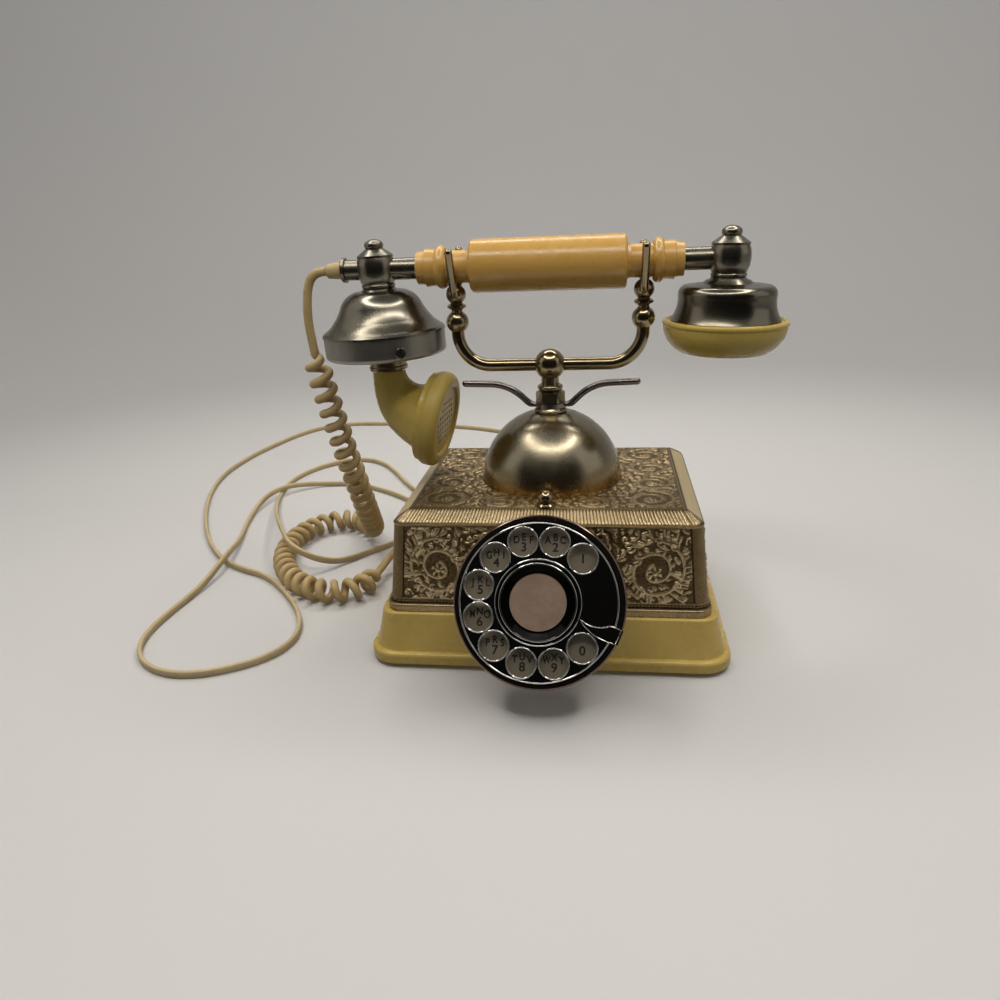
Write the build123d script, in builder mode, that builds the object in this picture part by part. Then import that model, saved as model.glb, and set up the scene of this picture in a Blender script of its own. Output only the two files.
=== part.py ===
"""Rotary telephone in the continental style. Millimetres, +Z up, the floor at Z = 0."""
import os
from math import acos, atan2, cos, hypot, pi, radians, sin, sqrt, tan

from build123d import *

os.makedirs("parts", exist_ok=True)

# Driving sizes: base and housing, measured about the post that carries the cradle
POST_Y = 24.0
TRAY_BOTTOM = 3.0
FLANGE_X, FLANGE_Y, FLANGE_CORNER, FLANGE_TOP = 96.4, 79.5, 16.0, 9.0
SKIRT_X, SKIRT_Y, SKIRT_CORNER, SKIRT_TAPER = 93.4, 76.3, 14.0, 12.3
DECK_TOP, DECK = 29.6, 2.5
PLATE_BOTTOM, PLATE = 4.0, 1.5
FOOT_X, FOOT_Y, FOOT_R = 66.0, 50.0, 8.0
BOSS_X, BOSS_Y, BOSS_R = 76.0, 60.0, 4.0
SCREW_R, SCREW_HEAD_R, SCREW_HEAD = 1.45, 3.2, 1.4
PLINTH_TOP, BEVEL_Z, TOP_Z = 34.0, 78.2, 83.2
PLINTH_X, PLINTH_Y, PLINTH_CORNER = 85.6, 70.2, 8.0
WALL_X, WALL_Y, WALL_CORNER = 84.0, 68.6, 7.0
BEVEL_X, BEVEL_Y, BEVEL_CORNER = 79.7, 64.1, 6.0
TOP_X, TOP_Y, TOP_CORNER = 71.8, 55.1, 1.5
HOUSING_WALL = 2.4
RELIEF, RELIEF_ROOT, STEM, SCROLL_SHARES = 0.8, 0.6, 2.0, (1.0, 0.76, 0.52, 0.3)

# Dome, wings and cradle
DOME_R, DOME_WALL = 39.7, 2.2
DOME_TOP = 121.4
FINIAL_Y = -50.6
POST_R, POST_FIT = 4.0, 0.08
COLLAR_R, COLLAR_TOP = 9.3, 124.4
WING_ROD, WING_REACH, WING_Z = 1.9, 48.0, 137.8
NUT_BOTTOM, NUT_TOP, NUT_R = 126.8, 133.4, 8.2
BAR_Z, BAR_R, BAR_ELBOW = 148.0, 3.5, 18.0
ARM_X = 50.5
BALL_R = 8.6
ARM_TOP = 171.0

# Handset: the handle's axis and the two hanging ends
HANDSET_Z = 201.5
END_X = 93.7
BARREL_X, BARREL_R, NECK_R = 41.2, 13.9, 8.6
TUBE_R, TUBE_IN, TUBE_OUT = 5.75, 64.0, 87.6
LEFT_LEAN, RIGHT_LEAN = 2.0, -1.2
RIM_R, BAND_R = 34.2, 33.8
RIM_V, BAND_V = -34.0, -46.2
HORN_TILT, HORN_SWIVEL = 12.5, 5.5
CAP_R = 27.3

# Dial
DIAL_Y, DIAL_Z, DIAL_TILT = -109.5, 58.0, 26.0
WHEEL_R, HOLE_R, HOLE_CIRCLE = 38.0, 7.0, 28.9
HOLES, FIRST_HOLE, HOLE_STEP = 10, 45.0, 30.0
STOP_ANGLE = -22.0
CAN_R, CAN_WALL = 39.4, 1.4
GEAR_MODULE, MAIN_TEETH, PINION_TEETH = 0.8, 45, 15
PRESSURE, GEAR_BACKLASH = radians(25.0), 0.24

# Handset cord: round wire wound in curls, and its route down to the floor and round to the base
WIRE_R, CURL_R, CURLS = 2.5, 5.3, 45
LEAD_ROUTE = [
    (-121.9, 24, 201.5), (-126.2, 24, 201.5), (-131.0, 24, 198.9), (-133.8, 24, 193.6),
    (-135.2, 23.9, 186.6), (-135.9, 23.7, 179), (-135.87, 23.6, 171.1), (-135.2, 24, 162.6),
]
CURL_ROUTE = [
    (-135.2, 24, 162.6), (-134.2, 24.6, 150), (-132.6, 26, 137), (-130.6, 28, 124), (-128.6, 31, 109),
    (-126.8, 36, 92), (-125.5, 44, 73.5), (-126, 57, 53), (-129, 75, 34.5), (-134, 96, 19.5),
    (-142, 116, 10.5), (-153, 131, 8.8), (-167, 137, 8.6), (-181, 131, 8.6), (-191, 117, 8.6),
    (-196, 97, 8.6), (-194, 73, 8.6), (-184, 48, 8.6), (-169, 28, 8.6), (-151, 16, 8.6),
    (-134, 14.5, 8.6), (-122.5, 22, 8.6), (-118, 35, 8.6), (-117.2, 46, 8.6),
]
TAIL_ROUTE = [
    (-117.2, 46, 8.6), (-116.68, 53.2, 8.6), (-114.6, 60.2, 11.0), (-111.2, 64.9, 14.4), (-107.2, 66, 16),
    (-103, 66, 16),
]
TAIL_GLAND = (-103.0, 66.0, 16.0)
GLAND_R = 3.9

# Line cord: out of the back, over the curls, round a wide loop and back behind the base
CORD_R = 2.1
LINE_GLAND = (-50.0, 103.0, 16.0)
LINE_ROUTE = [
    (-50, 103, 16), (-50, 110, 16), (-50.6, 119, 14.2), (-53.5, 130, 9.4), (-61, 139.5, 4.6),
    (-73, 145, 2.5), (-88, 142.5, 2.3), (-104, 131.5, 2.3), (-117, 115, 2.3), (-128, 100.5, 2.3),
    (-138, 89, 2.3), (-146.5, 78, 2.5), (-155, 68, 4.4), (-164, 60, 9.6), (-174.5, 56.5, 16.2),
    (-186, 63, 20.4), (-195, 78, 20.6), (-205, 96, 18.6), (-217, 119, 14), (-230.5, 146, 9),
    (-242.5, 175, 4.8), (-251.5, 203, 2.5), (-257, 231, 2.3), (-255.5, 259, 2.3), (-246.5, 283, 2.3),
    (-232, 301.5, 2.3), (-215, 311.5, 2.3), (-197.5, 309, 2.3), (-181.5, 296, 2.3), (-167, 275.5, 2.3),
    (-152.5, 250, 2.3), (-138, 226, 2.3), (-121.5, 206, 2.3), (-100, 193, 2.3), (-74, 188.5, 2.3),
    (-47, 196, 2.3), (-24.5, 217, 2.3), (-9.5, 250, 2.3), (-4.5, 292, 2.3), (-13, 337, 2.3),
    (-37, 378, 2.3), (-72, 409, 2.3), (-112, 429, 2.3), (-152, 440, 2.3), (-192, 447.5, 2.3),
    (-232, 452.5, 2.3), (-268, 451, 2.3), (-296, 434, 2.3), (-313, 402, 2.3), (-325, 358, 2.3),
    (-333, 311, 2.3), (-333.5, 264.5, 2.3), (-323.5, 220, 2.3), (-307.5, 178, 2.3), (-289, 140, 2.3),
    (-270, 107.5, 2.3), (-250.5, 81.5, 2.3), (-233, 65, 2.3), (-216, 55.5, 2.3), (-201.5, 49.5, 2.3),
    (-188, 38.5, 2.3), (-173, 22, 2.3), (-159.5, 4, 2.3), (-150, -13.5, 2.3), (-146, -30, 2.3),
    (-149, -44.5, 2.3), (-157, -55.5, 2.3), (-168.5, -64, 2.3), (-183, -71, 2.3), (-199.5, -73, 2.3),
    (-216, -67.5, 2.3), (-229.5, -55.5, 2.3), (-237, -39.5, 2.3), (-239, -21.5, 2.3), (-238, -2.5, 2.3),
    (-236, 17, 2.5), (-234, 36, 4.6), (-234.2, 55, 7.5), (-236.8, 76, 7.5), (-241.2, 97, 4.6),
    (-247, 118, 2.5), (-253.5, 139, 2.3), (-258, 160, 2.5), (-259.8, 179, 4.8), (-257.5, 198, 7.5),
    (-249, 216.5, 7.5), (-236, 230, 4.8), (-219, 237.5, 2.5), (-200, 238, 2.3), (-180.5, 231.5, 2.3),
    (-161, 219.5, 2.3), (-143.5, 205.5, 2.3), (-128, 191.5, 2.3), (-114.5, 179, 3.2),
    (-104.5, 170.5, 3.2),
]
PLUG_SIZE = (11.0, 20.0, 6.4)

# Planes and axes
body_plane = Plane((0, POST_Y, 0))
post_plane = Plane((0, POST_Y, 0), x_dir=(1, 0, 0), z_dir=(0, -1, 0))
post_axis = Axis((0, POST_Y, 0), (0, 0, 1))
handle_plane = Plane((0, POST_Y, HANDSET_Z), x_dir=(1, 0, 0), z_dir=(0, -1, 0))
handle_axis = Axis((0, POST_Y, HANDSET_Z), (1, 0, 0))
dial_normal = Vector(0, -cos(radians(DIAL_TILT)), sin(radians(DIAL_TILT)))
dial_centre = Vector(0, POST_Y + DIAL_Y, DIAL_Z)
dial_up = Vector(0, sin(radians(DIAL_TILT)), cos(radians(DIAL_TILT)))
dial_profile = Plane(dial_centre, x_dir=(1, 0, 0), z_dir=-dial_up)
dial_axis = Axis(dial_centre, dial_normal)


def dial_plane(height):
    """Plane square to the dial's axis, at a height in front of the finger wheel's face."""
    return Plane(dial_centre + dial_normal * height, x_dir=(1, 0, 0), z_dir=dial_normal)


def end_plane(side, lean):
    """Profile plane of one hanging end: local x is the radius, local y runs up its leaning axis."""
    tilt = radians(lean)
    return Plane((side * END_X, POST_Y, HANDSET_Z), x_dir=(cos(tilt), 0, sin(tilt)), z_dir=(0, -1, 0))


def plane_axis(plane):
    """The turning axis of a profile plane, along its local y."""
    return Axis(plane.origin, plane.y_dir)


left_end = end_plane(-1, LEFT_LEAN)
right_end = end_plane(1, RIGHT_LEAN)


def outline(start, *steps):
    """Closed face from corner points; a step of two points is an arc through the first to the second."""
    edges = []
    here = start
    for step in steps:
        if isinstance(step[0], tuple):
            via, end = step
            edges.append(Edge.make_three_point_arc(Vector(*here), Vector(*via), Vector(*end)))
        else:
            end = step
            edges.append(Edge.make_line(Vector(*here), Vector(*end)))
        here = end
    edges.append(Edge.make_line(Vector(*here), Vector(*start)))
    return Face(Wire(edges))


def ball(radius, middle, low, high):
    """Start point and arc step of a ball centred on the turning axis, cut off at two heights."""
    reach = [sqrt(radius ** 2 - (height - middle) ** 2) for height in (low, high)]
    return (reach[0], low), ((radius, middle), (reach[1], high))


def crown(start, top):
    """Arc step from a point to a top on the turning axis, square to that axis."""
    reach, height = start
    centre = (top ** 2 - reach ** 2 - height ** 2) / (2 * (top - height))
    half = atan2(reach, height - centre) / 2
    radius = top - centre
    return (radius * sin(half), centre + radius * cos(half)), (0, top)


def keep(piece, name):
    """Label a finished piece and write it."""
    piece.part.label = name
    export_step(piece.part, f"parts/{name}.step")


# Base: moulded skirt with a flange, open below, with a deck that carries the housing
with BuildPart() as base_skirt:
    with BuildSketch(body_plane.offset(TRAY_BOTTOM)):
        RectangleRounded(2 * FLANGE_X, 2 * FLANGE_Y, FLANGE_CORNER)
    extrude(amount=FLANGE_TOP - TRAY_BOTTOM)
    fillet(base_skirt.edges().group_by(Axis.Z)[-1], radius=2.2)
    with BuildSketch(body_plane.offset(FLANGE_TOP)):
        RectangleRounded(2 * SKIRT_X, 2 * SKIRT_Y, SKIRT_CORNER)
    extrude(amount=DECK_TOP - FLANGE_TOP, taper=SKIRT_TAPER)
    fillet(base_skirt.edges().group_by(Axis.Z)[-1], radius=1.5)
    with BuildSketch(body_plane.offset(TRAY_BOTTOM)):
        RectangleRounded(2 * SKIRT_X - 6, 2 * SKIRT_Y - 6, SKIRT_CORNER - 3)
    extrude(amount=DECK_TOP - DECK - TRAY_BOTTOM, taper=SKIRT_TAPER * 0.75, mode=Mode.SUBTRACT)
    with BuildSketch(body_plane.offset(PLATE_BOTTOM + PLATE)):
        with GridLocations(2 * BOSS_X, 2 * BOSS_Y, 2, 2):
            Circle(BOSS_R)
    extrude(amount=DECK_TOP - DECK / 2 - PLATE_BOTTOM - PLATE)
    with BuildSketch(body_plane.offset(DECK_TOP - DECK - 1)):
        RectangleRounded(2 * SKIRT_X - 44, 2 * SKIRT_Y - 38, 4)
    extrude(amount=DECK + 2, mode=Mode.SUBTRACT)
    with BuildSketch(body_plane.offset(PLATE_BOTTOM)):
        with GridLocations(2 * BOSS_X, 2 * BOSS_Y, 2, 2):
            Circle(SCREW_R + 0.05)
    extrude(amount=16, mode=Mode.SUBTRACT)
    with BuildSketch(Plane(LINE_GLAND, x_dir=(1, 0, 0), z_dir=(0, -1, 0))):
        Circle(GLAND_R)
    extrude(amount=30, mode=Mode.SUBTRACT)
    with BuildSketch(Plane(TAIL_GLAND, x_dir=(0, 1, 0), z_dir=(1, 0, 0))):
        Circle(GLAND_R)
    extrude(amount=30, mode=Mode.SUBTRACT)
keep(base_skirt, "base_skirt")

with BuildPart() as bottom_plate:
    with BuildSketch(body_plane.offset(PLATE_BOTTOM)):
        RectangleRounded(2 * SKIRT_X - 7, 2 * SKIRT_Y - 7, SKIRT_CORNER - 3.5)
        with GridLocations(2 * BOSS_X, 2 * BOSS_Y, 2, 2):
            Circle(SCREW_R + 0.3, mode=Mode.SUBTRACT)
    extrude(amount=PLATE)
keep(bottom_plate, "bottom_plate")

with BuildPart() as rubber_feet:
    with BuildSketch(body_plane):
        with GridLocations(2 * FOOT_X, 2 * FOOT_Y, 2, 2):
            Circle(FOOT_R)
    extrude(amount=PLATE_BOTTOM)
    chamfer(rubber_feet.edges().group_by(Axis.Z)[0], length=1.0)
keep(rubber_feet, "rubber_feet")

with BuildPart() as plate_screws:
    with BuildSketch(body_plane.offset(PLATE_BOTTOM - SCREW_HEAD)):
        with GridLocations(2 * BOSS_X, 2 * BOSS_Y, 2, 2):
            Circle(SCREW_HEAD_R)
    extrude(amount=SCREW_HEAD)
    with BuildSketch(body_plane.offset(PLATE_BOTTOM)):
        with GridLocations(2 * BOSS_X, 2 * BOSS_Y, 2, 2):
            Circle(SCREW_R)
    extrude(amount=12)
keep(plate_screws, "plate_screws")

# Housing: plinth, drafted walls and a bevelled top, hollow, with the post and dial openings
FRONT_DRAFT = atan2(WALL_Y - BEVEL_Y, BEVEL_Z - PLINTH_TOP)
front_wall = Plane(
    (0, POST_Y - (WALL_Y + BEVEL_Y) / 2, (PLINTH_TOP + BEVEL_Z) / 2),
    x_dir=(1, 0, 0), z_dir=(0, -cos(FRONT_DRAFT), sin(FRONT_DRAFT)),
)
DIAL_NECK_R, NECK_DROP = 15.0, -2.0
SIDE_DRAFT = atan2(WALL_X - BEVEL_X, BEVEL_Z - PLINTH_TOP)


def side_wall(side):
    """Plane on the left or right wall, at the middle of its height."""
    return Plane(
        (side * (WALL_X + BEVEL_X) / 2, POST_Y, (PLINTH_TOP + BEVEL_Z) / 2),
        x_dir=(0, side, 0), z_dir=(side * cos(SIDE_DRAFT), 0, sin(SIDE_DRAFT)),
    )


back_wall = Plane(
    (0, POST_Y + (WALL_Y + BEVEL_Y) / 2, (PLINTH_TOP + BEVEL_Z) / 2),
    x_dir=(-1, 0, 0), z_dir=(0, cos(FRONT_DRAFT), sin(FRONT_DRAFT)),
)

# Main scrolls of the cast relief: place on the wall or the top, outer radius and winding hand
walls = [front_wall, side_wall(1), back_wall, side_wall(-1)]
LONG_WALL = [(-56, 0, 15.5, 1), (-18.7, 0, 15.5, -1), (18.7, 0, 15.5, 1), (56, 0, 15.5, -1)]
SHORT_WALL = [(-39, 0, 15.5, 1), (0, 0, 15.5, 1), (39, 0, 15.5, -1)]
DIAL_WALL = [(-56, 0, 15.5, 1), (-28, 1, 10.5, -1), (28, 1, 10.5, 1), (56, 0, 15.5, -1)]
WALL_SCROLLS = [DIAL_WALL, SHORT_WALL, LONG_WALL, SHORT_WALL]
TOP_SCROLLS = [
    (sx * x, sy * y, size, sx * sy) for x, y, size in ((55, 39, 12.5), (57, 13, 11), (24, 45.4, 7.6))
    for sx in (-1, 1) for sy in (-1, 1)
]


def scroll(x, y, size, hand):
    """Spiral stem of four half rings, each smaller than the last, with a boss in its eye."""
    centre = Vector(x, y)
    turn = 90.0
    radii = [(size - STEM / 2) * share for share in SCROLL_SHARES]
    for radius, after in zip(radii, radii[1:] + radii[-1:]):
        start = turn if hand > 0 else turn - 180
        SlotArc(Edge.make_circle(radius, Plane(centre), start, start + 180), STEM)
        turn += 180 * hand
        centre += Vector(cos(radians(turn)), sin(radians(turn))) * (radius - after)
    with Locations((centre.X, centre.Y)):
        Circle(size * 0.16)


with BuildPart() as housing_shell:
    with BuildSketch(body_plane.offset(DECK_TOP)):
        RectangleRounded(2 * PLINTH_X, 2 * PLINTH_Y, PLINTH_CORNER)
    extrude(amount=PLINTH_TOP - DECK_TOP)
    fillet(housing_shell.edges().group_by(Axis.Z)[-1], radius=0.9)
    with BuildSketch(body_plane.offset(PLINTH_TOP)):
        RectangleRounded(2 * WALL_X, 2 * WALL_Y, WALL_CORNER)
    with BuildSketch(body_plane.offset(BEVEL_Z)):
        RectangleRounded(2 * BEVEL_X, 2 * BEVEL_Y, BEVEL_CORNER)
    loft(ruled=True)
    with BuildSketch(body_plane.offset(BEVEL_Z)):
        RectangleRounded(2 * BEVEL_X, 2 * BEVEL_Y, BEVEL_CORNER)
    with BuildSketch(body_plane.offset(TOP_Z)):
        RectangleRounded(2 * TOP_X, 2 * TOP_Y, TOP_CORNER)
    loft(ruled=True)
    with BuildSketch(body_plane.offset(DECK_TOP)):
        RectangleRounded(2 * (WALL_X - HOUSING_WALL), 2 * (WALL_Y - HOUSING_WALL), 5)
    with BuildSketch(body_plane.offset(BEVEL_Z - 1)):
        RectangleRounded(2 * (BEVEL_X - HOUSING_WALL), 2 * (BEVEL_Y - HOUSING_WALL), 4)
    loft(ruled=True, mode=Mode.SUBTRACT)
    with BuildSketch(body_plane.offset(BEVEL_Z - 1)):
        RectangleRounded(2 * (BEVEL_X - HOUSING_WALL), 2 * (BEVEL_Y - HOUSING_WALL), 4)
    with BuildSketch(body_plane.offset(TOP_Z - HOUSING_WALL)):
        RectangleRounded(2 * (TOP_X - 2), 2 * (TOP_Y - 2), 1)
    loft(ruled=True, mode=Mode.SUBTRACT)
    with BuildSketch(body_plane.offset(TOP_Z - 5)):
        Circle(7)
        with Locations((0, FINIAL_Y)):
            Circle(1.6)
    extrude(amount=10, mode=Mode.SUBTRACT)
    with BuildSketch(front_wall.offset(2)):
        with Locations((0, NECK_DROP)):
            Circle(DIAL_NECK_R - 4)
    extrude(amount=-10, mode=Mode.SUBTRACT)
    for wall, scrolls in zip(walls, WALL_SCROLLS):
        with BuildSketch(wall.offset(-RELIEF_ROOT)):
            for x, y, size, hand in scrolls:
                scroll(x, y, size, hand)
        extrude(amount=RELIEF + RELIEF_ROOT)
    with BuildSketch(body_plane.offset(TOP_Z - RELIEF_ROOT)):
        for x, y, size, hand in TOP_SCROLLS:
            scroll(x, y, size, hand)
    extrude(amount=RELIEF + RELIEF_ROOT)
keep(housing_shell, "housing_shell")

with BuildPart() as front_finial:
    with BuildSketch(Plane((0, POST_Y + FINIAL_Y, TOP_Z), x_dir=(1, 0, 0), z_dir=(0, -1, 0))):
        add(outline((0, -4), (1.5, -4), (1.5, 0), (4.9, 0), (4.9, 1.1), (3.7, 2.0), crown((3.7, 2.0), 8.6)))
    revolve(axis=Axis((0, POST_Y + FINIAL_Y, TOP_Z), (0, 0, 1)))
keep(front_finial, "front_finial")

# Dome, its collar, the lifting wings and the guide nut, all fixed
BORE_R = POST_R + POST_FIT
dome_inner = DOME_R - DOME_WALL
dome_shoulder = sqrt(DOME_R ** 2 - (DOME_TOP - TOP_Z) ** 2)


def dome_height(radius, reach):
    """Height above the housing's top of a half sphere of the given radius at a reach from the axis."""
    return TOP_Z + sqrt(radius ** 2 - reach ** 2)


with BuildPart() as dome:
    with BuildSketch(post_plane):
        add(outline(
            (DOME_R, TOP_Z),
            ((DOME_R * cos(pi / 4), TOP_Z + DOME_R * sin(pi / 4)), (dome_shoulder, DOME_TOP)),
            (BORE_R, DOME_TOP),
            (BORE_R, dome_height(dome_inner, BORE_R)),
            ((dome_inner * sin(pi / 4), TOP_Z + dome_inner * cos(pi / 4)), (dome_inner, TOP_Z)),
        ))
    revolve(axis=post_axis)
keep(dome, "dome")

with BuildPart() as dome_collar:
    with BuildSketch(post_plane):
        add(outline(
            (BORE_R, DOME_TOP), (COLLAR_R - 0.8, DOME_TOP), ((COLLAR_R, 122.5), (COLLAR_R - 0.6, 123.4)),
            (8.0, COLLAR_TOP), (BORE_R, COLLAR_TOP),
        ))
    revolve(axis=post_axis)
keep(dome_collar, "dome_collar")

with BuildPart() as lifting_wings:
    with BuildSketch(body_plane.offset(COLLAR_TOP)):
        Circle(8.4)
        Circle(BORE_R, mode=Mode.SUBTRACT)
    extrude(amount=NUT_BOTTOM - COLLAR_TOP)
    with BuildLine() as wing_path:
        FilletPolyline(
            (-6, POST_Y, NUT_BOTTOM - WING_ROD), (-10.6, POST_Y, NUT_BOTTOM - WING_ROD),
            (-23.5, POST_Y, WING_Z - 0.8), (-WING_REACH, POST_Y, WING_Z), radius=[9.0, 26.0],
        )
    with BuildSketch(Plane(origin=wing_path.line @ 1, z_dir=wing_path.line % 1)):
        Circle(WING_ROD)
    sweep(path=wing_path.line)
    with Locations((-WING_REACH, POST_Y, WING_Z)):
        Sphere(WING_ROD)
    with BuildSketch(body_plane.offset(COLLAR_TOP)):
        Circle(BORE_R)
    extrude(amount=NUT_BOTTOM - COLLAR_TOP, mode=Mode.SUBTRACT)
    mirror(about=Plane.YZ)
    split(bisect_by=Plane.XY.offset(COLLAR_TOP), keep=Keep.TOP)
keep(lifting_wings, "lifting_wings")

with BuildPart() as guide_nut:
    with BuildSketch(body_plane.offset(NUT_BOTTOM)):
        RegularPolygon(NUT_R, 6)
        Circle(BORE_R, mode=Mode.SUBTRACT)
    extrude(amount=NUT_TOP - NUT_BOTTOM)
    with BuildSketch(post_plane):
        add(outline((NUT_R - 1.2, NUT_TOP), (NUT_R + 0.4, NUT_TOP - 1.0), (NUT_R + 0.4, NUT_TOP)))
    revolve(axis=post_axis, mode=Mode.SUBTRACT)
keep(guide_nut, "guide_nut")

# Cradle: post, ball, bent bar, two turned arm ends and two forks
POST_LOW, POST_TOP = 25.0, 140.0
SEAT_Z = 66.0

with BuildPart() as cradle_plunger:
    with BuildSketch(post_plane):
        add(outline(
            (0, POST_LOW), (POST_R, POST_LOW), (POST_R, SEAT_Z), (6.4, SEAT_Z), (6.4, SEAT_Z + 2),
            (POST_R, SEAT_Z + 2), (POST_R, POST_TOP), (0, POST_TOP),
        ))
    revolve(axis=post_axis)
keep(cradle_plunger, "cradle_plunger")

ball_foot = (4.9, BAR_Z - sqrt(BALL_R ** 2 - 4.9 ** 2))
with BuildPart() as cradle_ball:
    with BuildSketch(post_plane):
        add(outline(
            (0, NUT_TOP + 0.4), (5.6, NUT_TOP + 0.4), ((7.1, 135.0), (5.4, 136.9)), (4.9, 138.2), ball_foot,
            crown(ball_foot, BAR_Z + BALL_R),
        ))
    revolve(axis=post_axis)
    with BuildSketch(body_plane.offset(NUT_TOP)):
        Circle(POST_R)
    extrude(amount=POST_TOP - NUT_TOP, mode=Mode.SUBTRACT)
    with BuildSketch(Plane((-20, POST_Y, BAR_Z), x_dir=(0, 1, 0), z_dir=(1, 0, 0))):
        Circle(BAR_R)
    extrude(amount=40, mode=Mode.SUBTRACT)
keep(cradle_ball, "cradle_ball")

with BuildPart() as cradle_bar:
    with BuildLine() as bar_path:
        FilletPolyline(
            (-ARM_X, POST_Y, ARM_TOP), (-ARM_X, POST_Y, BAR_Z),
            (ARM_X, POST_Y, BAR_Z), (ARM_X, POST_Y, ARM_TOP),
            radius=BAR_ELBOW,
        )
    with BuildSketch(Plane(origin=bar_path.line @ 0, z_dir=bar_path.line % 0)):
        Circle(BAR_R)
    sweep(path=bar_path.line)
keep(cradle_bar, "cradle_bar")

FORK_Z, FORK_FOOT, FORK_REACH, FORK_TIP, FORK_ROD = 187.2, 6.6, 15.4, 209.4, 2.1

with BuildPart() as forks:
    for side in (-1, 1):
        with BuildLine(Plane((side * ARM_X, POST_Y, 0), x_dir=(0, 1, 0), z_dir=(1, 0, 0))) as fork_path:
            FilletPolyline(
                (-FORK_REACH, FORK_TIP), (-FORK_FOOT, FORK_Z), (FORK_FOOT, FORK_Z), (FORK_REACH, FORK_TIP),
                radius=4,
            )
        with BuildSketch(Plane(origin=fork_path.line @ 0, x_dir=(1, 0, 0), z_dir=fork_path.line % 0)):
            Circle(FORK_ROD)
        sweep(path=fork_path.line)
        with Locations(*[(side * ARM_X, POST_Y + reach, FORK_TIP) for reach in (-FORK_REACH, FORK_REACH)]):
            Sphere(FORK_ROD)
keep(forks, "forks")

with BuildPart() as arm_ends:
    for side in (-1, 1):
        with BuildSketch(Plane((side * ARM_X, POST_Y, 0), x_dir=(1, 0, 0), z_dir=(0, -1, 0))):
            add(outline(
                (0, 167.6), *ball(6.2, 172.3, 167.6, 177.6), (2.9, 178.6), (5.2, 180.2), (5.2, 181.2),
                *ball(5.45, 187.15, 182.6, 191.7), (0, 191.7),
            ))
        revolve(axis=Axis((side * ARM_X, POST_Y, 0), (0, 0, 1)))
        with BuildSketch(Plane((side * ARM_X, POST_Y, 160))):
            Circle(BAR_R)
        extrude(amount=ARM_TOP - 160, mode=Mode.SUBTRACT)
    add(forks.part, mode=Mode.SUBTRACT)
keep(arm_ends, "arm_ends")

# Handset: turned handle with a bore for the wires
handle_half = [
    (BARREL_X - 1.0, BARREL_R), (BARREL_X, BARREL_R - 1.0), (BARREL_X + 0.4, NECK_R + 0.6),
    (BARREL_X + 2.0, NECK_R), (54.6, NECK_R), (54.6, 9.6), ((57.4, 11.4), (60.2, 9.6)), (60.8, 9.6),
    (65.6, 10.0), (66.0, 8.9), (70.4, 8.5),
]

with BuildPart() as handle:
    with BuildSketch(handle_plane):
        add(outline((0, 3.6), (0, BARREL_R), *handle_half, (70.4, TUBE_R), (TUBE_IN, TUBE_R), (TUBE_IN, 3.6)))
    revolve(axis=handle_axis)
    mirror(about=Plane.YZ)
keep(handle, "handle")

with BuildPart() as stem_tubes:
    for side in (-1, 1):
        with BuildSketch(Plane((side * TUBE_IN, POST_Y, HANDSET_Z), x_dir=(0, 1, 0), z_dir=(side, 0, 0))):
            Circle(TUBE_R)
            Circle(TUBE_R - 1.6, mode=Mode.SUBTRACT)
        extrude(amount=TUBE_OUT - TUBE_IN)
keep(stem_tubes, "stem_tubes")

KNUCKLE_TOP, KNUCKLE_LOW = 6.5, -11.0
FERRULE_IN, FERRULE_OUT, FERRULE_R = -99.0, -112.8, 5.4
with BuildPart() as knuckles:
    for plane in (left_end, right_end):
        with BuildSketch(plane):
            add(outline(
                (0, KNUCKLE_LOW), (10.2, KNUCKLE_LOW), (8.6, -9.6), ((9.3, -8.6), (8.8, -7.6)), (9.0, -7.2),
                ((10.6, -0.8), (9.4, KNUCKLE_TOP)), (0, KNUCKLE_TOP),
            ))
        revolve(axis=plane_axis(plane))
        with BuildSketch(plane):
            add(outline((0, KNUCKLE_LOW), (4, KNUCKLE_LOW), (4, 2), (0, 2)))
        revolve(axis=plane_axis(plane), mode=Mode.SUBTRACT)
    for side in (-1, 1):
        with BuildSketch(Plane((side * TUBE_IN, POST_Y, HANDSET_Z), x_dir=(0, 1, 0), z_dir=(side, 0, 0))):
            Circle(TUBE_R)
        extrude(amount=TUBE_OUT - TUBE_IN, mode=Mode.SUBTRACT)
    with BuildSketch(Plane((FERRULE_IN, POST_Y, HANDSET_Z), x_dir=(0, 1, 0), z_dir=(-1, 0, 0))):
        Circle(FERRULE_R)
    extrude(amount=20, mode=Mode.SUBTRACT)
keep(knuckles, "knuckles")

with BuildPart() as end_finials:
    for plane in (left_end, right_end):
        with BuildSketch(plane):
            add(outline(
                (0, KNUCKLE_TOP), (9.8, KNUCKLE_TOP), (9.8, KNUCKLE_TOP + 0.9), (5.6, 10.4), (4.7, 11.0),
                ((5.2, 12.6), (4.5, 14.2)), crown((4.5, 14.2), 15.8),
            ))
        revolve(axis=plane_axis(plane))
keep(end_finials, "end_finials")

with BuildPart() as cord_ferrule:
    with BuildSketch(handle_plane):
        add(outline(
            (FERRULE_IN, 3.3), (FERRULE_IN, FERRULE_R), (-110.6, FERRULE_R), (-110.8, 6.6),
            (FERRULE_OUT + 0.4, 6.6), (FERRULE_OUT, 6.2), (FERRULE_OUT, 3.3),
        ))
    revolve(axis=handle_axis)
keep(cord_ferrule, "cord_ferrule")

with BuildPart() as cord_boot:
    with BuildSketch(handle_plane):
        add(outline(
            (-106, 0), (-106, 3.3), (FERRULE_OUT, 3.3), (FERRULE_OUT, 4.7), (-120.2, 4.0),
            ((-121.5, 3.6), (-121.9, 2.6)), (-121.9, 0),
        ))
    revolve(axis=handle_axis)
keep(cord_boot, "cord_boot")

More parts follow.
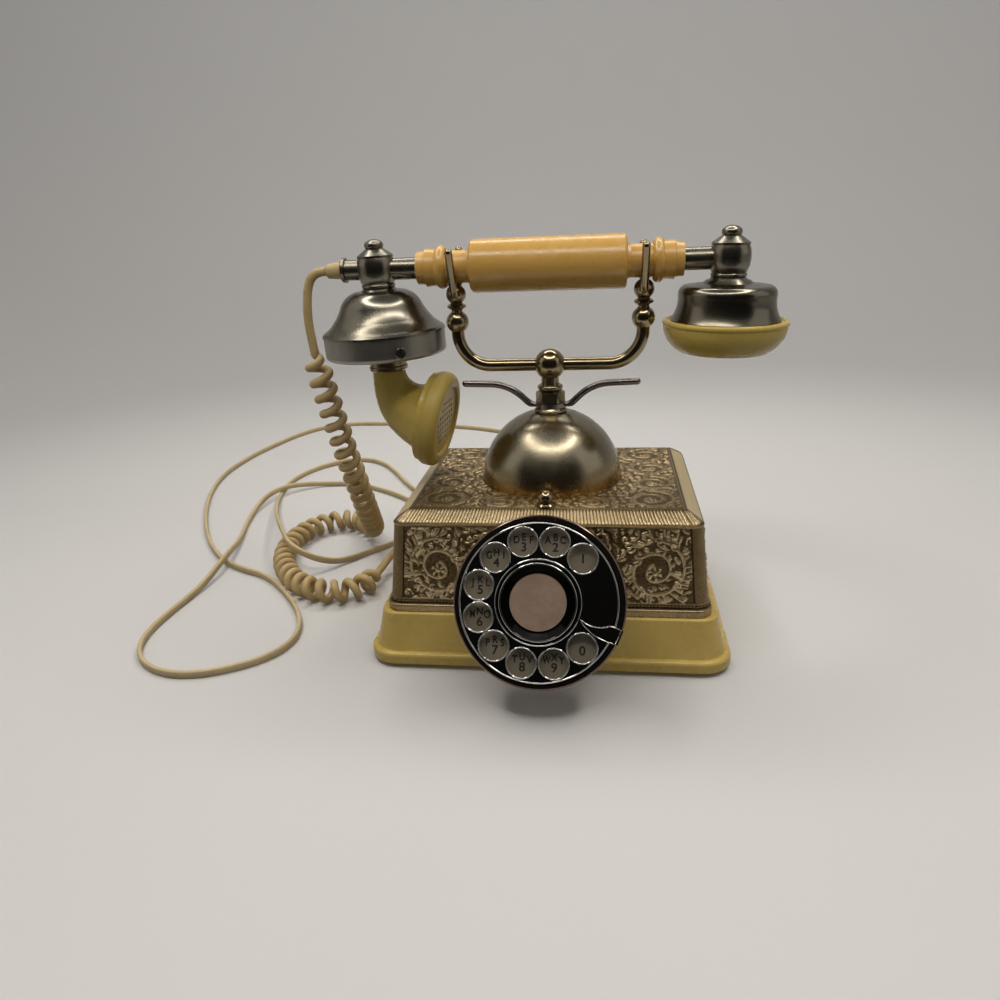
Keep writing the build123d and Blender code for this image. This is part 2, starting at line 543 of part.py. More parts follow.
# Mouthpiece end: spun dome, band with its screw, collar, curved horn and perforated cap
with BuildPart() as mouthpiece_dome:
    with BuildSketch(left_end):
        add(outline(
            (6, KNUCKLE_LOW), (12, KNUCKLE_LOW), ((18.2, -13.4), (22.4, -18.6)),
            ((24.4, -22.6), (27.0, -26.2)), ((29.6, -29.2), (33.0, -31.6)), (RIM_R, RIM_V + 1.2),
            (RIM_R, RIM_V), (32.2, RIM_V), ((28.4, -30.4), (25.8, -27.2)), ((23.2, -23.4), (21.2, -19.4)),
            ((17.3, -14.6), (11.8, -12.4)), (6, -12.4),
        ))
    revolve(axis=plane_axis(left_end))
keep(mouthpiece_dome, "mouthpiece_dome")

with BuildPart() as mouthpiece_band:
    with BuildSketch(left_end):
        add(outline(
            (32.4, RIM_V), (BAND_R, RIM_V), (BAND_R, BAND_V + 2.2),
            ((BAND_R - 0.65, BAND_V + 0.65), (BAND_R - 2.2, BAND_V)), (5, BAND_V), (5, BAND_V + 1.4),
            (BAND_R - 2.8, BAND_V + 1.4), (32.4, BAND_V + 2.8),
        ))
    revolve(axis=plane_axis(left_end))
    SCREW_AZ = radians(-62)
    screw_out = left_end.x_dir * cos(SCREW_AZ) + Vector(0, 1, 0) * sin(SCREW_AZ)
    screw_plane = Plane(
        left_end.origin + left_end.y_dir * (BAND_V + 4.8) + screw_out * (BAND_R - 1.6),
        x_dir=left_end.y_dir, z_dir=screw_out,
    )
    with BuildSketch(screw_plane.offset(-2)):
        Circle(1.2)
    extrude(amount=6, mode=Mode.SUBTRACT)
keep(mouthpiece_band, "mouthpiece_band")

with BuildPart() as band_screw:
    with BuildSketch(screw_plane.offset(-1.5)):
        Circle(1.2)
    extrude(amount=3.1)
    with BuildSketch(screw_plane.offset(1.6)):
        Circle(3.0)
    extrude(amount=1.3)
    fillet(band_screw.faces().sort_by(SortBy.AREA)[-1].edges(), radius=0.5)
    with BuildSketch(screw_plane.offset(2.4)):
        Rectangle(7, 0.8)
    extrude(amount=2, mode=Mode.SUBTRACT)
keep(band_screw, "band_screw")

COLLAR_V = BAND_V - 8.8
with BuildPart() as horn_collar:
    with BuildSketch(left_end):
        add(outline(
            (7.0, BAND_V), (11.2, BAND_V), (11.2, BAND_V - 3.0), (10.4, BAND_V - 3.6), (10.4, BAND_V - 5.8),
            (10.9, BAND_V - 6.4), (10.9, BAND_V - 8.0), (10.1, COLLAR_V), (7.0, COLLAR_V),
        ))
    revolve(axis=plane_axis(left_end))
keep(horn_collar, "horn_collar")

# Horn stations: centre X and Z before the swivel, radius and the slope below horizontal that it faces
horn_start = left_end.origin + left_end.y_dir * COLLAR_V
HORN_STATIONS = [
    (horn_start.X, horn_start.Z, 9.2, 90 - LEFT_LEAN), (-91.5, 142.0, 9.7, 82), (-90.3, 136.2, 11.1, 67),
    (-87.4, 129.8, 13.4, 49), (-82.6, 124.6, 15.8, 33), (-76.8, 121.4, 18.2, 21),
    (-71.2, 119.6, 21.6, HORN_TILT),
]
HORN_WALL = 1.8


def horn_plane(station):
    """Plane square to the horn at one of its stations; all but the first are swivelled to the dial's side."""
    x, z, _, slope = station
    turn, down = radians(0 if x == horn_start.X else HORN_SWIVEL), radians(slope)
    ahead = Vector(cos(turn), -sin(turn), 0)
    place = Vector(horn_start.X, POST_Y, z) + ahead * (x - horn_start.X)
    return Plane(place, x_dir=(sin(turn), cos(turn), 0), z_dir=ahead * cos(down) - Vector(0, 0, sin(down)))


horn_mouth = horn_plane(HORN_STATIONS[-1])
horn_end, cap_dir = horn_mouth.origin, horn_mouth.z_dir

with BuildPart() as horn:
    for station in HORN_STATIONS:
        with BuildSketch(horn_plane(station)):
            Circle(station[2])
    loft()
    with BuildSketch(horn_mouth):
        Circle(25.4)
    extrude(amount=2.6)
    for station in HORN_STATIONS:
        with BuildSketch(horn_plane(station)):
            Circle(station[2] - HORN_WALL)
    loft(mode=Mode.SUBTRACT)
    with BuildSketch(horn_mouth):
        Circle(HORN_STATIONS[-1][2] - HORN_WALL)
    extrude(amount=2.6, mode=Mode.SUBTRACT)
keep(horn, "horn")

CAP_BACK, CAP_FRONT, CAP_FACE, HOLE_PITCH = 2.6, 12.6, 11.0, 4.4
cap_profile = Plane(horn_end, x_dir=horn_mouth.x_dir, z_dir=horn_mouth.x_dir.cross(cap_dir))
cap_axis = Axis(horn_end, cap_dir)
cap_grid = [
    (HOLE_PITCH * (i + 0.5 * (j % 2)), HOLE_PITCH * sin(pi / 3) * j)
    for i in range(-5, 5) for j in range(-4, 5)
]
cap_holes = [spot for spot in cap_grid if hypot(*spot) < 14.6]
with BuildPart() as transmitter_cap:
    with BuildSketch(cap_profile):
        add(outline(
            (0, CAP_FACE - 2.0), (24.6, CAP_FACE - 2.0), (24.6, CAP_BACK), (26.4, CAP_BACK), (26.8, 4.0),
            (CAP_R, 4.4), (CAP_R, 7.6), ((25.8, 11.2), (22.0, CAP_FRONT)), ((20.2, 12.3), (19.0, CAP_FACE)),
            (0, CAP_FACE),
        ))
    revolve(axis=cap_axis)
    with BuildSketch(horn_mouth.offset(CAP_FACE + 1)):
        with Locations(*cap_holes):
            Circle(0.95)
    extrude(amount=-5, mode=Mode.SUBTRACT)
keep(transmitter_cap, "transmitter_cap")

with BuildPart() as transmitter_capsule:
    with BuildSketch(cap_profile):
        add(outline((0, CAP_BACK), (24.2, CAP_BACK), (24.2, 6.0), (21, 8.4), (0, 8.4)))
    revolve(axis=cap_axis)
keep(transmitter_capsule, "transmitter_capsule")

# Earpiece end: cup, cap and receiver capsule
with BuildPart() as earpiece_cup:
    with BuildSketch(right_end):
        add(outline(
            (6, KNUCKLE_LOW), (11, KNUCKLE_LOW), (13, -12.6), (20.5, -13.6), ((24.0, -15.0), (25.2, -18.4)),
            ((25.5, -24.5), (28.4, -31.2)), (28.4, -32.0), (27.0, -32.0), ((24.2, -25), (23.8, -18.6)),
            ((22.8, -16.0), (20.2, -15.0)), (6, -14.4),
        ))
    revolve(axis=plane_axis(right_end))
keep(earpiece_cup, "earpiece_cup")

with BuildPart() as earpiece_cap:
    with BuildSketch(right_end):
        add(outline(
            (25.4, -32.0), (29.6, -32.0), (30.2, -31.2), (31.6, -31.2), ((32.4, -32.0), (32.0, -34.0)),
            ((29.6, -42.0), (24.4, -47.0)), ((23.0, -47.9), (21.0, -48.0)), ((10, -46.6), (0, -46.2)),
            (0, -43.6), ((10, -44.0), (22.0, -45.0)), ((26.6, -40.4), (28.6, -34.4)), (25.4, -34.4),
        ))
    revolve(axis=plane_axis(right_end))
    with BuildSketch(Plane(right_end.origin - right_end.y_dir * 40, x_dir=(1, 0, 0), z_dir=-right_end.y_dir)):
        with PolarLocations(5.2, 6):
            Circle(1.2)
        Circle(1.2)
    extrude(amount=12, mode=Mode.SUBTRACT)
keep(earpiece_cap, "earpiece_cap")

with BuildPart() as receiver_capsule:
    with BuildSketch(right_end):
        add(outline(
            (0, -25), (16, -25), (16, -30), (25.4, -32.3), (25.4, -34.2), (22.6, -35), (22.6, -38), (0, -38),
        ))
    revolve(axis=plane_axis(right_end))
keep(receiver_capsule, "receiver_capsule")

# Dial: can and neck, number plate, stop and mechanism frame, all fixed
CAN_FRONT, CAN_STEP, CAN_BACK = -4.6, -20.0, -31.0
with BuildPart() as can_blank:
    with BuildSketch(dial_profile):
        add(outline(
            (0, CAN_FRONT), (40.2, CAN_FRONT), ((41.1, -5.8), (40.2, -7.4)), (CAN_R, -8.2), (CAN_R, CAN_STEP),
            ((35.0, -27.6), (24.0, CAN_BACK)), (0, CAN_BACK),
        ))
    revolve(axis=dial_axis)

with BuildPart() as dial_can:
    add(can_blank.part)
    with BuildSketch(dial_profile):
        add(outline(
            (0, CAN_FRONT), (37.6, CAN_FRONT), (37.6, CAN_STEP), ((33.8, -26.4), (23.4, CAN_BACK + CAN_WALL)),
            (0, CAN_BACK + CAN_WALL),
        ))
    revolve(axis=dial_axis, mode=Mode.SUBTRACT)
    with BuildSketch(dial_plane(CAN_BACK - 2)):
        Circle(5)
    extrude(amount=6, mode=Mode.SUBTRACT)
keep(dial_can, "dial_can")

with BuildPart() as dial_neck:
    with BuildSketch(front_wall):
        with Locations((0, NECK_DROP)):
            Circle(DIAL_NECK_R)
            Circle(DIAL_NECK_R - 3, mode=Mode.SUBTRACT)
    extrude(amount=30)
    add(can_blank.part, mode=Mode.SUBTRACT)
    split(bisect_by=dial_plane(-12), keep=Keep.BOTTOM)
keep(dial_neck, "dial_neck")

PLATE_FRONT, PLATE_BACK = -4.6, -6.2
with BuildPart() as number_plate:
    with BuildSketch(dial_plane(PLATE_BACK)):
        Circle(37.6)
        Circle(9.0, mode=Mode.SUBTRACT)
    extrude(amount=PLATE_FRONT - PLATE_BACK)
keep(number_plate, "number_plate")

stop_dir = Vector(1, 0, 0) * cos(radians(STOP_ANGLE)) + dial_up * sin(radians(STOP_ANGLE))
stop_plane = Plane(dial_centre, x_dir=stop_dir, z_dir=dial_normal)
with BuildPart() as finger_stop:
    with BuildSketch(stop_plane.offset(0.9)):
        add(outline(
            (21.2, 0.5), ((28.0, -0.1), (34.4, 3.1)), (36.0, 3.4), (39.6, 3.4), (39.6, -3.6), (38.0, -3.6),
            ((29.6, -3.5), (21.0, -0.1)),
        ))
    extrude(amount=1.5)
    with BuildSketch(stop_plane.offset(2.4)):
        with Locations((39.6, -0.1)):
            Rectangle(2.2, 7)
    extrude(amount=-9.0)
    add(can_blank.part, mode=Mode.SUBTRACT)
keep(finger_stop, "finger_stop")

FRAME_FRONT, FRAME_BACK = -8.4, -10.0
GOVERNOR_AT = GEAR_MODULE * (MAIN_TEETH + PINION_TEETH) / 2
SHAFT_R, SPINDLE_R, SHAFT_FIT = 3.0, 1.5, 0.06
with BuildPart() as dial_frame:
    with BuildSketch(dial_plane(FRAME_BACK)):
        Circle(35.5)
        Circle(SHAFT_R + SHAFT_FIT, mode=Mode.SUBTRACT)
        with Locations((GOVERNOR_AT, 0)):
            Circle(SPINDLE_R + SHAFT_FIT, mode=Mode.SUBTRACT)
    extrude(amount=FRAME_FRONT - FRAME_BACK)
    with BuildSketch(dial_plane(FRAME_FRONT)):
        with PolarLocations(33.6, 3, start_angle=90):
            Circle(2.0)
    extrude(amount=PLATE_BACK - FRAME_FRONT)
    with BuildSketch(dial_plane(FRAME_BACK)):
        with PolarLocations(29.6, 3, start_angle=90):
            Circle(2.4)
    extrude(amount=-13.4)
    with BuildSketch(dial_plane(-23.4)):
        Circle(31.0)
        Circle(SHAFT_R + SHAFT_FIT, mode=Mode.SUBTRACT)
        with Locations((GOVERNOR_AT, 0)):
            Circle(SPINDLE_R + SHAFT_FIT, mode=Mode.SUBTRACT)
    extrude(amount=-1.4)
keep(dial_frame, "dial_frame")

with BuildPart() as mainspring:
    with BuildSketch(dial_plane(-17.6)):
        Circle(12.0)
        Circle(3.6, mode=Mode.SUBTRACT)
    extrude(amount=-5.8)
keep(mainspring, "mainspring")

with BuildPart() as pulse_contacts:
    with BuildSketch(dial_plane(FRAME_BACK)):
        with Locations((-25.6, -4)):
            Rectangle(6, 12)
    extrude(amount=-3.0)
    for leaf in range(3):
        with BuildSketch(dial_plane(FRAME_BACK - 3.0 - 2.6 * leaf)):
            with Locations((-25.6, 1)):
                Rectangle(5, 22)
        extrude(amount=-0.6)
        with BuildSketch(dial_plane(FRAME_BACK - 3.6 - 2.6 * leaf)):
            with Locations((-25.6, -4)):
                Rectangle(6, 12)
        extrude(amount=-2.0)
keep(pulse_contacts, "pulse_contacts")

# Dial: the turning wheel, its card and retainer, the shaft and the main gear
WHEEL_BACK = -1.6
with BuildPart() as finger_wheel:
    with BuildSketch(dial_plane(WHEEL_BACK)):
        Circle(WHEEL_R)
        with PolarLocations(HOLE_CIRCLE, HOLES, start_angle=FIRST_HOLE, angular_range=HOLES * HOLE_STEP):
            Circle(HOLE_R, mode=Mode.SUBTRACT)
        Circle(SHAFT_R, mode=Mode.SUBTRACT)
    extrude(amount=-WHEEL_BACK)
    with BuildSketch(dial_profile):
        add(outline(
            (36.9, 0), (WHEEL_R, 0), (WHEEL_R, WHEEL_BACK - 0.8), (WHEEL_R - 0.7, WHEEL_BACK - 0.8),
            (WHEEL_R - 0.7, WHEEL_BACK), (36.9, WHEEL_BACK),
        ))
    revolve(axis=dial_axis)
keep(finger_wheel, "finger_wheel")

with BuildPart() as card_retainer:
    with BuildSketch(dial_profile):
        add(outline(
            (13.3, 0), (20.0, 0), ((20.0, 0.9), (19.2, 1.3)), (18.4, 1.4), (18.4, 1.9),
            ((18.0, 2.5), (17.3, 2.3)), (14.4, 1.2), (13.3, 1.2),
        ))
    revolve(axis=dial_axis)
keep(card_retainer, "card_retainer")

with BuildPart() as centre_card:
    with BuildSketch(dial_plane(0)):
        Circle(13.3)
    extrude(amount=1.0)
keep(centre_card, "centre_card")

with BuildPart() as dial_shaft:
    with BuildSketch(dial_profile):
        add(outline(
            (0, -26.5), (SHAFT_R, -26.5), (SHAFT_R, -8.0), (8.0, -8.0), (8.0, WHEEL_BACK),
            (SHAFT_R, WHEEL_BACK), (SHAFT_R, 0), (0, 0),
        ))
    revolve(axis=dial_axis)
keep(dial_shaft, "dial_shaft")


def involute(angle):
    """The involute function."""
    return tan(angle) - angle


def gear_outline(teeth, start_angle):
    """Closed gear outline with thinned teeth; a tooth is centred on start_angle, in degrees."""
    pitch_r = GEAR_MODULE * teeth / 2
    base_r = pitch_r * cos(PRESSURE)
    root_r, tip_r = pitch_r - 1.15 * GEAR_MODULE, pitch_r + 0.8 * GEAR_MODULE
    half_pitch = pi / (2 * teeth) - GEAR_BACKLASH / (4 * pitch_r)

    def half_angle(radius):
        return half_pitch + involute(PRESSURE) - involute(acos(min(1.0, base_r / max(radius, base_r))))

    flank = [root_r, pitch_r, tip_r]
    points = []
    for tooth in range(teeth):
        middle = radians(start_angle) + 2 * pi * tooth / teeth
        for radius in flank:
            points.append((radius, middle - half_angle(radius)))
        for radius in reversed(flank):
            points.append((radius, middle + half_angle(radius)))
    return [(r * cos(a), r * sin(a)) for r, a in points]


GEAR_FRONT, GEAR_THICK = -11.6, 2.4
with BuildPart() as main_gear:
    with BuildSketch(dial_plane(GEAR_FRONT)):
        with BuildLine():
            Polyline(*gear_outline(MAIN_TEETH, 0), close=True)
        make_face()
        Circle(SHAFT_R, mode=Mode.SUBTRACT)
    extrude(amount=-GEAR_THICK)
keep(main_gear, "main_gear")

governor_at = dial_plane(GEAR_FRONT + 0.2).from_local_coords(Vector(GOVERNOR_AT, 0, 0))
governor_plane = Plane(governor_at, x_dir=(1, 0, 0), z_dir=dial_normal)
with BuildPart() as governor:
    with BuildSketch(governor_plane):
        with BuildLine():
            Polyline(*gear_outline(PINION_TEETH, 0), close=True)
        make_face()
    extrude(amount=-GEAR_THICK - 0.4)
    with BuildSketch(governor_plane.offset(3.2)):
        Circle(SPINDLE_R)
    extrude(amount=-16.6)
    with BuildSketch(governor_plane.offset(-5.2)):
        Circle(5.0)
    extrude(amount=-4.0)
keep(governor, "governor")

# Hookswitch: bracket, return spring and contact stack inside the housing
GUIDE_LOW, GUIDE_HIGH = 46.0, 55.0
FLOOR_Z = PLATE_BOTTOM + PLATE
with BuildPart() as hook_bracket:
    with BuildSketch(body_plane.offset(FLOOR_Z)):
        Rectangle(44, 18)
    extrude(amount=2)
    with BuildSketch(body_plane.offset(FLOOR_Z + 2)):
        with GridLocations(40, 0, 2, 1):
            Rectangle(3, 18)
    extrude(amount=GUIDE_LOW - FLOOR_Z - 2)
    with BuildSketch(body_plane.offset(GUIDE_LOW)):
        Rectangle(43, 18)
        Circle(BORE_R, mode=Mode.SUBTRACT)
    extrude(amount=3)
    with BuildSketch(body_plane.offset(GUIDE_LOW + 3)):
        Circle(7)
        Circle(BORE_R, mode=Mode.SUBTRACT)
    extrude(amount=GUIDE_HIGH - GUIDE_LOW - 3)
keep(hook_bracket, "hook_bracket")

with BuildPart() as hook_contacts:
    with BuildSketch(Plane((10, POST_Y, FLOOR_Z + 2))):
        Rectangle(8, 12)
    extrude(amount=10)
    for leaf in range(3):
        with BuildSketch(Plane((1, POST_Y, FLOOR_Z + 12 + 3.0 * leaf))):
            Rectangle(26, 8)
        extrude(amount=0.6)
        with BuildSketch(Plane((10, POST_Y, FLOOR_Z + 12.6 + 3.0 * leaf))):
            Rectangle(8, 12)
        extrude(amount=2.4)
keep(hook_contacts, "hook_contacts")

# Ringer: frame with ears and posts, coils, gongs and the clapper
RINGER_Y = POST_Y + 33.0
GONG_X, GONG_R, GONG_RIM, GONG_TOP = 26.0, 22.6, 40.0, 52.0
PIVOT_Z = 31.0
ringer_floor = Plane((0, RINGER_Y, FLOOR_Z))
with BuildPart() as ringer_frame:
    with BuildSketch(ringer_floor):
        Rectangle(72, 22)
    extrude(amount=2)
    with BuildSketch(ringer_floor.offset(2)):
        with GridLocations(2 * GONG_X, 0, 2, 1):
            Circle(3)
    extrude(amount=GONG_TOP - 1.6 - FLOOR_Z - 2)
    with BuildSketch(ringer_floor.offset(2)):
        with GridLocations(0, 12, 1, 2):
            Rectangle(8, 2)
    extrude(amount=PIVOT_Z + 3 - FLOOR_Z - 2)
    with BuildSketch(Plane((0, RINGER_Y - 10, PIVOT_Z), x_dir=(1, 0, 0), z_dir=(0, 1, 0))):
        Circle(1.06)
    extrude(amount=20, mode=Mode.SUBTRACT)
keep(ringer_frame, "ringer_frame")

with BuildPart() as ringer_coils:
    with BuildSketch(ringer_floor.offset(2)):
        with GridLocations(20, 0, 2, 1):
            Circle(6.4)
    extrude(amount=1.2)
    with BuildSketch(ringer_floor.offset(3.2)):
        with GridLocations(20, 0, 2, 1):
            Circle(5.6)
    extrude(amount=15)
    with BuildSketch(ringer_floor.offset(18.2)):
        with GridLocations(20, 0, 2, 1):
            Circle(6.4)
    extrude(amount=1.2)
keep(ringer_coils, "ringer_coils")

with BuildPart() as gongs:
    for side in (-1, 1):
        with BuildSketch(Plane((side * GONG_X, RINGER_Y, 0), x_dir=(1, 0, 0), z_dir=(0, -1, 0))):
            add(outline(
                (1.6, GONG_TOP - 1.6), (12, GONG_TOP - 1.6), ((18.6, 46.6), (GONG_R - 1.5, GONG_RIM)),
                (GONG_R, GONG_RIM), ((20.4, 47.6), (12.6, GONG_TOP)), (1.6, GONG_TOP),
            ))
        revolve(axis=Axis((side * GONG_X, RINGER_Y, 0), (0, 0, 1)))
keep(gongs, "gongs")

with BuildPart() as clapper:
    with BuildSketch(Plane((0, RINGER_Y, PIVOT_Z - 1.2))):
        Rectangle(24, 6)
    extrude(amount=2.4)
    with BuildSketch(Plane((0, RINGER_Y - 7, PIVOT_Z), x_dir=(1, 0, 0), z_dir=(0, 1, 0))):
        Circle(1.0)
    extrude(amount=14)
    with BuildSketch(Plane((0, RINGER_Y, PIVOT_Z))):
        Circle(0.9)
    extrude(amount=10)
    with Locations((0, RINGER_Y, GONG_RIM + 1.5)):
        Sphere(1.8)
keep(clapper, "clapper")

# Network block with its terminals
NETWORK_X, NETWORK_Y = -46.0, POST_Y - 24.0
network_floor = Plane((NETWORK_X, NETWORK_Y, FLOOR_Z))
with BuildPart() as network_block:
    with BuildSketch(network_floor):
        RectangleRounded(46, 30, 2)
    extrude(amount=20)
    with BuildSketch(network_floor.offset(20)):
        RectangleRounded(40, 24, 1.5)
        with GridLocations(8, 14, 5, 2):
            Circle(1.0, mode=Mode.SUBTRACT)
    extrude(amount=3)
keep(network_block, "network_block")

with BuildPart() as terminal_screws:
    with BuildSketch(network_floor.offset(20)):
        with GridLocations(8, 14, 5, 2):
            Circle(1.0)
    extrude(amount=3)
    with BuildSketch(network_floor.offset(23)):
        with GridLocations(8, 14, 5, 2):
            Circle(2.2)
    extrude(amount=1.4)
keep(terminal_screws, "terminal_screws")

# Cords and the pieces they leave by


def corner_radii(points):
    """The radius of each corner of a route: as large as its two runs allow."""
    radii = []
    for a, b, c in zip(points, points[1:], points[2:]):
        first, second = Vector(*b) - Vector(*a), Vector(*c) - Vector(*b)
        half_turn = radians(first.get_angle(second) / 2)
        radii.append(0.45 * min(first.length, second.length) / tan(half_turn))
    return radii


def route_wire(points, name):
    """Straight runs joined by tangent arcs; prints how tight the arcs are."""
    radii = corner_radii(points)
    with BuildLine() as line:
        FilletPolyline(*points, radius=radii)
    path = line.wires()[0]
    print(name, "length", round(path.length, 1), "radii", [round(r, 1) for r in radii])
    return path


def report_volume(piece, section_r, path, name):
    """Print a tube's volume beside its section times its length."""
    expected = pi * section_r ** 2 * path.length
    print(name, "volume", round(piece.part.volume), "section x length", round(expected))


FINE = 8
STEPS = 4 * CURLS


def curl_points(axis):
    """Points along the wound wire, FINE to a quarter turn, and the axis direction at its two ends."""
    count = STEPS * FINE
    side = axis.tangent_at(0).cross(Vector(0, 1, 0)).normalized()
    points = []
    for index in range(count + 1):
        along = index / count
        forward = axis.tangent_at(along)
        side = (side - forward * side.dot(forward)).normalized()
        rise = max(0.0, min(1.0, along * CURLS - 0.55, (1 - along) * CURLS - 0.55))
        reach = CURL_R * rise * rise * (3 - 2 * rise)
        turn = 2 * pi * CURLS * along
        out = side * (reach * cos(turn)) + forward.cross(side) * (reach * sin(turn))
        points.append(axis.position_at(along) + out)
    return points, axis.tangent_at(0), axis.tangent_at(1)


def biarc(p0, t0, p1, t1):
    """Two arcs that leave p0 along t0 and reach p1 along t1."""
    span, both = p1 - p0, t0 + t1
    bend, along = 2 * (1 - t0.dot(t1)), span.dot(both)
    if bend < 1e-9:
        reach = span.dot(span) / (2 * along)
    else:
        reach = (sqrt(along * along + bend * span.dot(span)) - along) / bend
    q0, q1 = p0 + t0 * reach, p1 - t1 * reach
    middle = (q0 + q1) * 0.5
    if bend < 1e-9:
        return [Edge.make_line(p0, p1)]
    return [Edge.make_tangent_arc(p0, t0, middle), Edge.make_tangent_arc(middle, (q1 - q0).normalized(), p1)]


def curl_wire(points, first, last):
    """One unbroken wire of biarcs, each a quarter turn."""
    count = len(points) - 1
    edges = []
    for low in range(0, count, FINE):
        high = low + FINE
        leave = first if low == 0 else (points[low + 1] - points[low - 1]).normalized()
        reach = last if high == count else (points[high + 1] - points[high - 1]).normalized()
        edges.extend(biarc(points[low], leave, points[high], reach))
    return Wire(edges)


def least_gap(points, section_r, apart):
    """Least space between stretches of one wire that are at least so many points apart."""
    least = 1e9
    for index in range(0, len(points) - apart, 2):
        for other in range(index + apart, len(points), 2):
            away = points[index] - points[other]
            if abs(away.Z) < least and abs(away.X) < least and abs(away.Y) < least:
                least = min(least, away.length)
    return least - 2 * section_r


for name, points in (("handset_cord_lead", LEAD_ROUTE), ("handset_cord_tail", TAIL_ROUTE)):
    path = route_wire(points, name)
    with BuildPart() as cord:
        with BuildSketch(Plane(origin=path @ 0, z_dir=path % 0)):
            Circle(WIRE_R)
        sweep(path=path)
    report_volume(cord, WIRE_R, path, name)
    keep(cord, name)

curl_axis = route_wire(CURL_ROUTE, "curl axis")
wound, leave_dir, reach_dir = curl_points(curl_axis)
curl_path = curl_wire(wound, leave_dir, reach_dir)
with BuildPart() as handset_cord_curls:
    with BuildSketch(Plane(origin=wound[0], z_dir=leave_dir)):
        Circle(WIRE_R)
    sweep(path=curl_path)
report_volume(handset_cord_curls, WIRE_R, curl_path, "handset_cord_curls")
print("handset_cord_curls length", round(curl_path.length, 1))
print("handset_cord_curls least gap", round(least_gap(wound, WIRE_R, 3 * FINE), 2))
keep(handset_cord_curls, "handset_cord_curls")

# Return spring of the hookswitch, wound the same way round the plunger
SPRING_R, SPRING_WIRE, SPRING_TURNS = 5.3, 0.6, 5
spring_low, spring_high = GUIDE_HIGH + SPRING_WIRE, SEAT_Z - SPRING_WIRE
spring_rise = spring_high - spring_low
spring_count = 4 * SPRING_TURNS * FINE
spring_points = []
for index in range(spring_count + 1):
    along = index / spring_count
    turn = 2 * pi * SPRING_TURNS * along
    height = spring_low + spring_rise * along
    spring_points.append(Vector(SPRING_R * cos(turn), POST_Y + SPRING_R * sin(turn), height))
spring_dir = Vector(0, 2 * pi * SPRING_TURNS * SPRING_R, spring_rise).normalized()
spring_path = curl_wire(spring_points, spring_dir, spring_dir)
with BuildPart() as hook_spring:
    with BuildSketch(Plane(origin=spring_points[0], z_dir=spring_dir)):
        Circle(SPRING_WIRE)
    sweep(path=spring_path)
report_volume(hook_spring, SPRING_WIRE, spring_path, "hook_spring")
print("hook_spring least gap", round(least_gap(spring_points, SPRING_WIRE, 3 * FINE), 2))
keep(hook_spring, "hook_spring")

line_path = route_wire(LINE_ROUTE, "line_cord")
with BuildPart() as line_cord:
    with BuildSketch(Plane(origin=line_path @ 0, z_dir=line_path % 0)):
        Circle(CORD_R)
    sweep(path=line_path)
report_volume(line_cord, CORD_R, line_path, "line_cord")
keep(line_cord, "line_cord")

with BuildPart() as cord_grommets:
    for point, toward, section_r, taper, depth in (
        (LINE_GLAND, (0, -1, 0), CORD_R, 4.0, 9.0),
        (TAIL_GLAND, (1, 0, 0), WIRE_R, 12.0, 18.0),
    ):
        inward = Vector(*toward)
        with BuildSketch(Plane(point, x_dir=(0, 0, 1), z_dir=inward)):
            Circle(section_r + 0.9)
        with BuildSketch(Plane(Vector(*point) + inward * taper, x_dir=(0, 0, 1), z_dir=inward)):
            Circle(GLAND_R)
        loft()
        with BuildSketch(Plane(Vector(*point) + inward * taper, x_dir=(0, 0, 1), z_dir=inward)):
            Circle(GLAND_R)
        extrude(amount=depth - taper)
keep(cord_grommets, "cord_grommets")

plug_from = Vector(*LINE_ROUTE[-1])
plug_dir = line_path % 1
plug_plane = Plane(plug_from, x_dir=plug_dir.cross(Vector(0, 0, 1)).normalized(), z_dir=plug_dir)
with BuildPart() as line_plug:
    with BuildSketch(plug_plane):
        RectangleRounded(PLUG_SIZE[0], PLUG_SIZE[2], 1.0)
    extrude(amount=PLUG_SIZE[1])
keep(line_plug, "line_plug")
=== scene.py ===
"""Visual model of a rotary telephone in the continental style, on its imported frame. Metres, +Z up."""
import math

import bmesh
import bpy
import numpy as np
from mathutils import Matrix, Vector


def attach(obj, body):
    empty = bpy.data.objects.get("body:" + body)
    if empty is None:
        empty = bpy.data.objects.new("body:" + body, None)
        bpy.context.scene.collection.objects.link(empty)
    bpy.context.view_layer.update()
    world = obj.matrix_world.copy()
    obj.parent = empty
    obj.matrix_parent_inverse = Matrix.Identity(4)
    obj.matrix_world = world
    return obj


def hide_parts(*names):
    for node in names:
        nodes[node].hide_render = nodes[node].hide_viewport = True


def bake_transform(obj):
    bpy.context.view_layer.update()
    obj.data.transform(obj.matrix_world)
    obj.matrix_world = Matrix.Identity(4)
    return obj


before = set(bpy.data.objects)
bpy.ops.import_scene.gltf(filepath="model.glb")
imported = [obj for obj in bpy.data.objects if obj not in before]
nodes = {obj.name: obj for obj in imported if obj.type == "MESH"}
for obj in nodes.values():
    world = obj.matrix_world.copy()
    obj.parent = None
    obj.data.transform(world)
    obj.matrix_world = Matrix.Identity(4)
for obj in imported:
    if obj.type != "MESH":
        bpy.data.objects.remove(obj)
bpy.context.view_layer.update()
scene = bpy.context.scene
scene.view_settings.view_transform = "Standard"
scene.view_settings.look = "None"
random = np.random.default_rng(11)
MM = 0.001
POST = Vector((0, 24, 0))


def add_object(name, data):
    piece = bpy.data.objects.new(name, data)
    scene.collection.objects.link(piece)
    return piece


def dress(piece, look):
    piece.data.materials.clear()
    piece.data.materials.append(look)


def placing(place, *axes):
    """Matrix that puts local x, y and z along three axes at a place."""
    return Matrix.Translation(place) @ Matrix(axes).transposed().to_4x4()


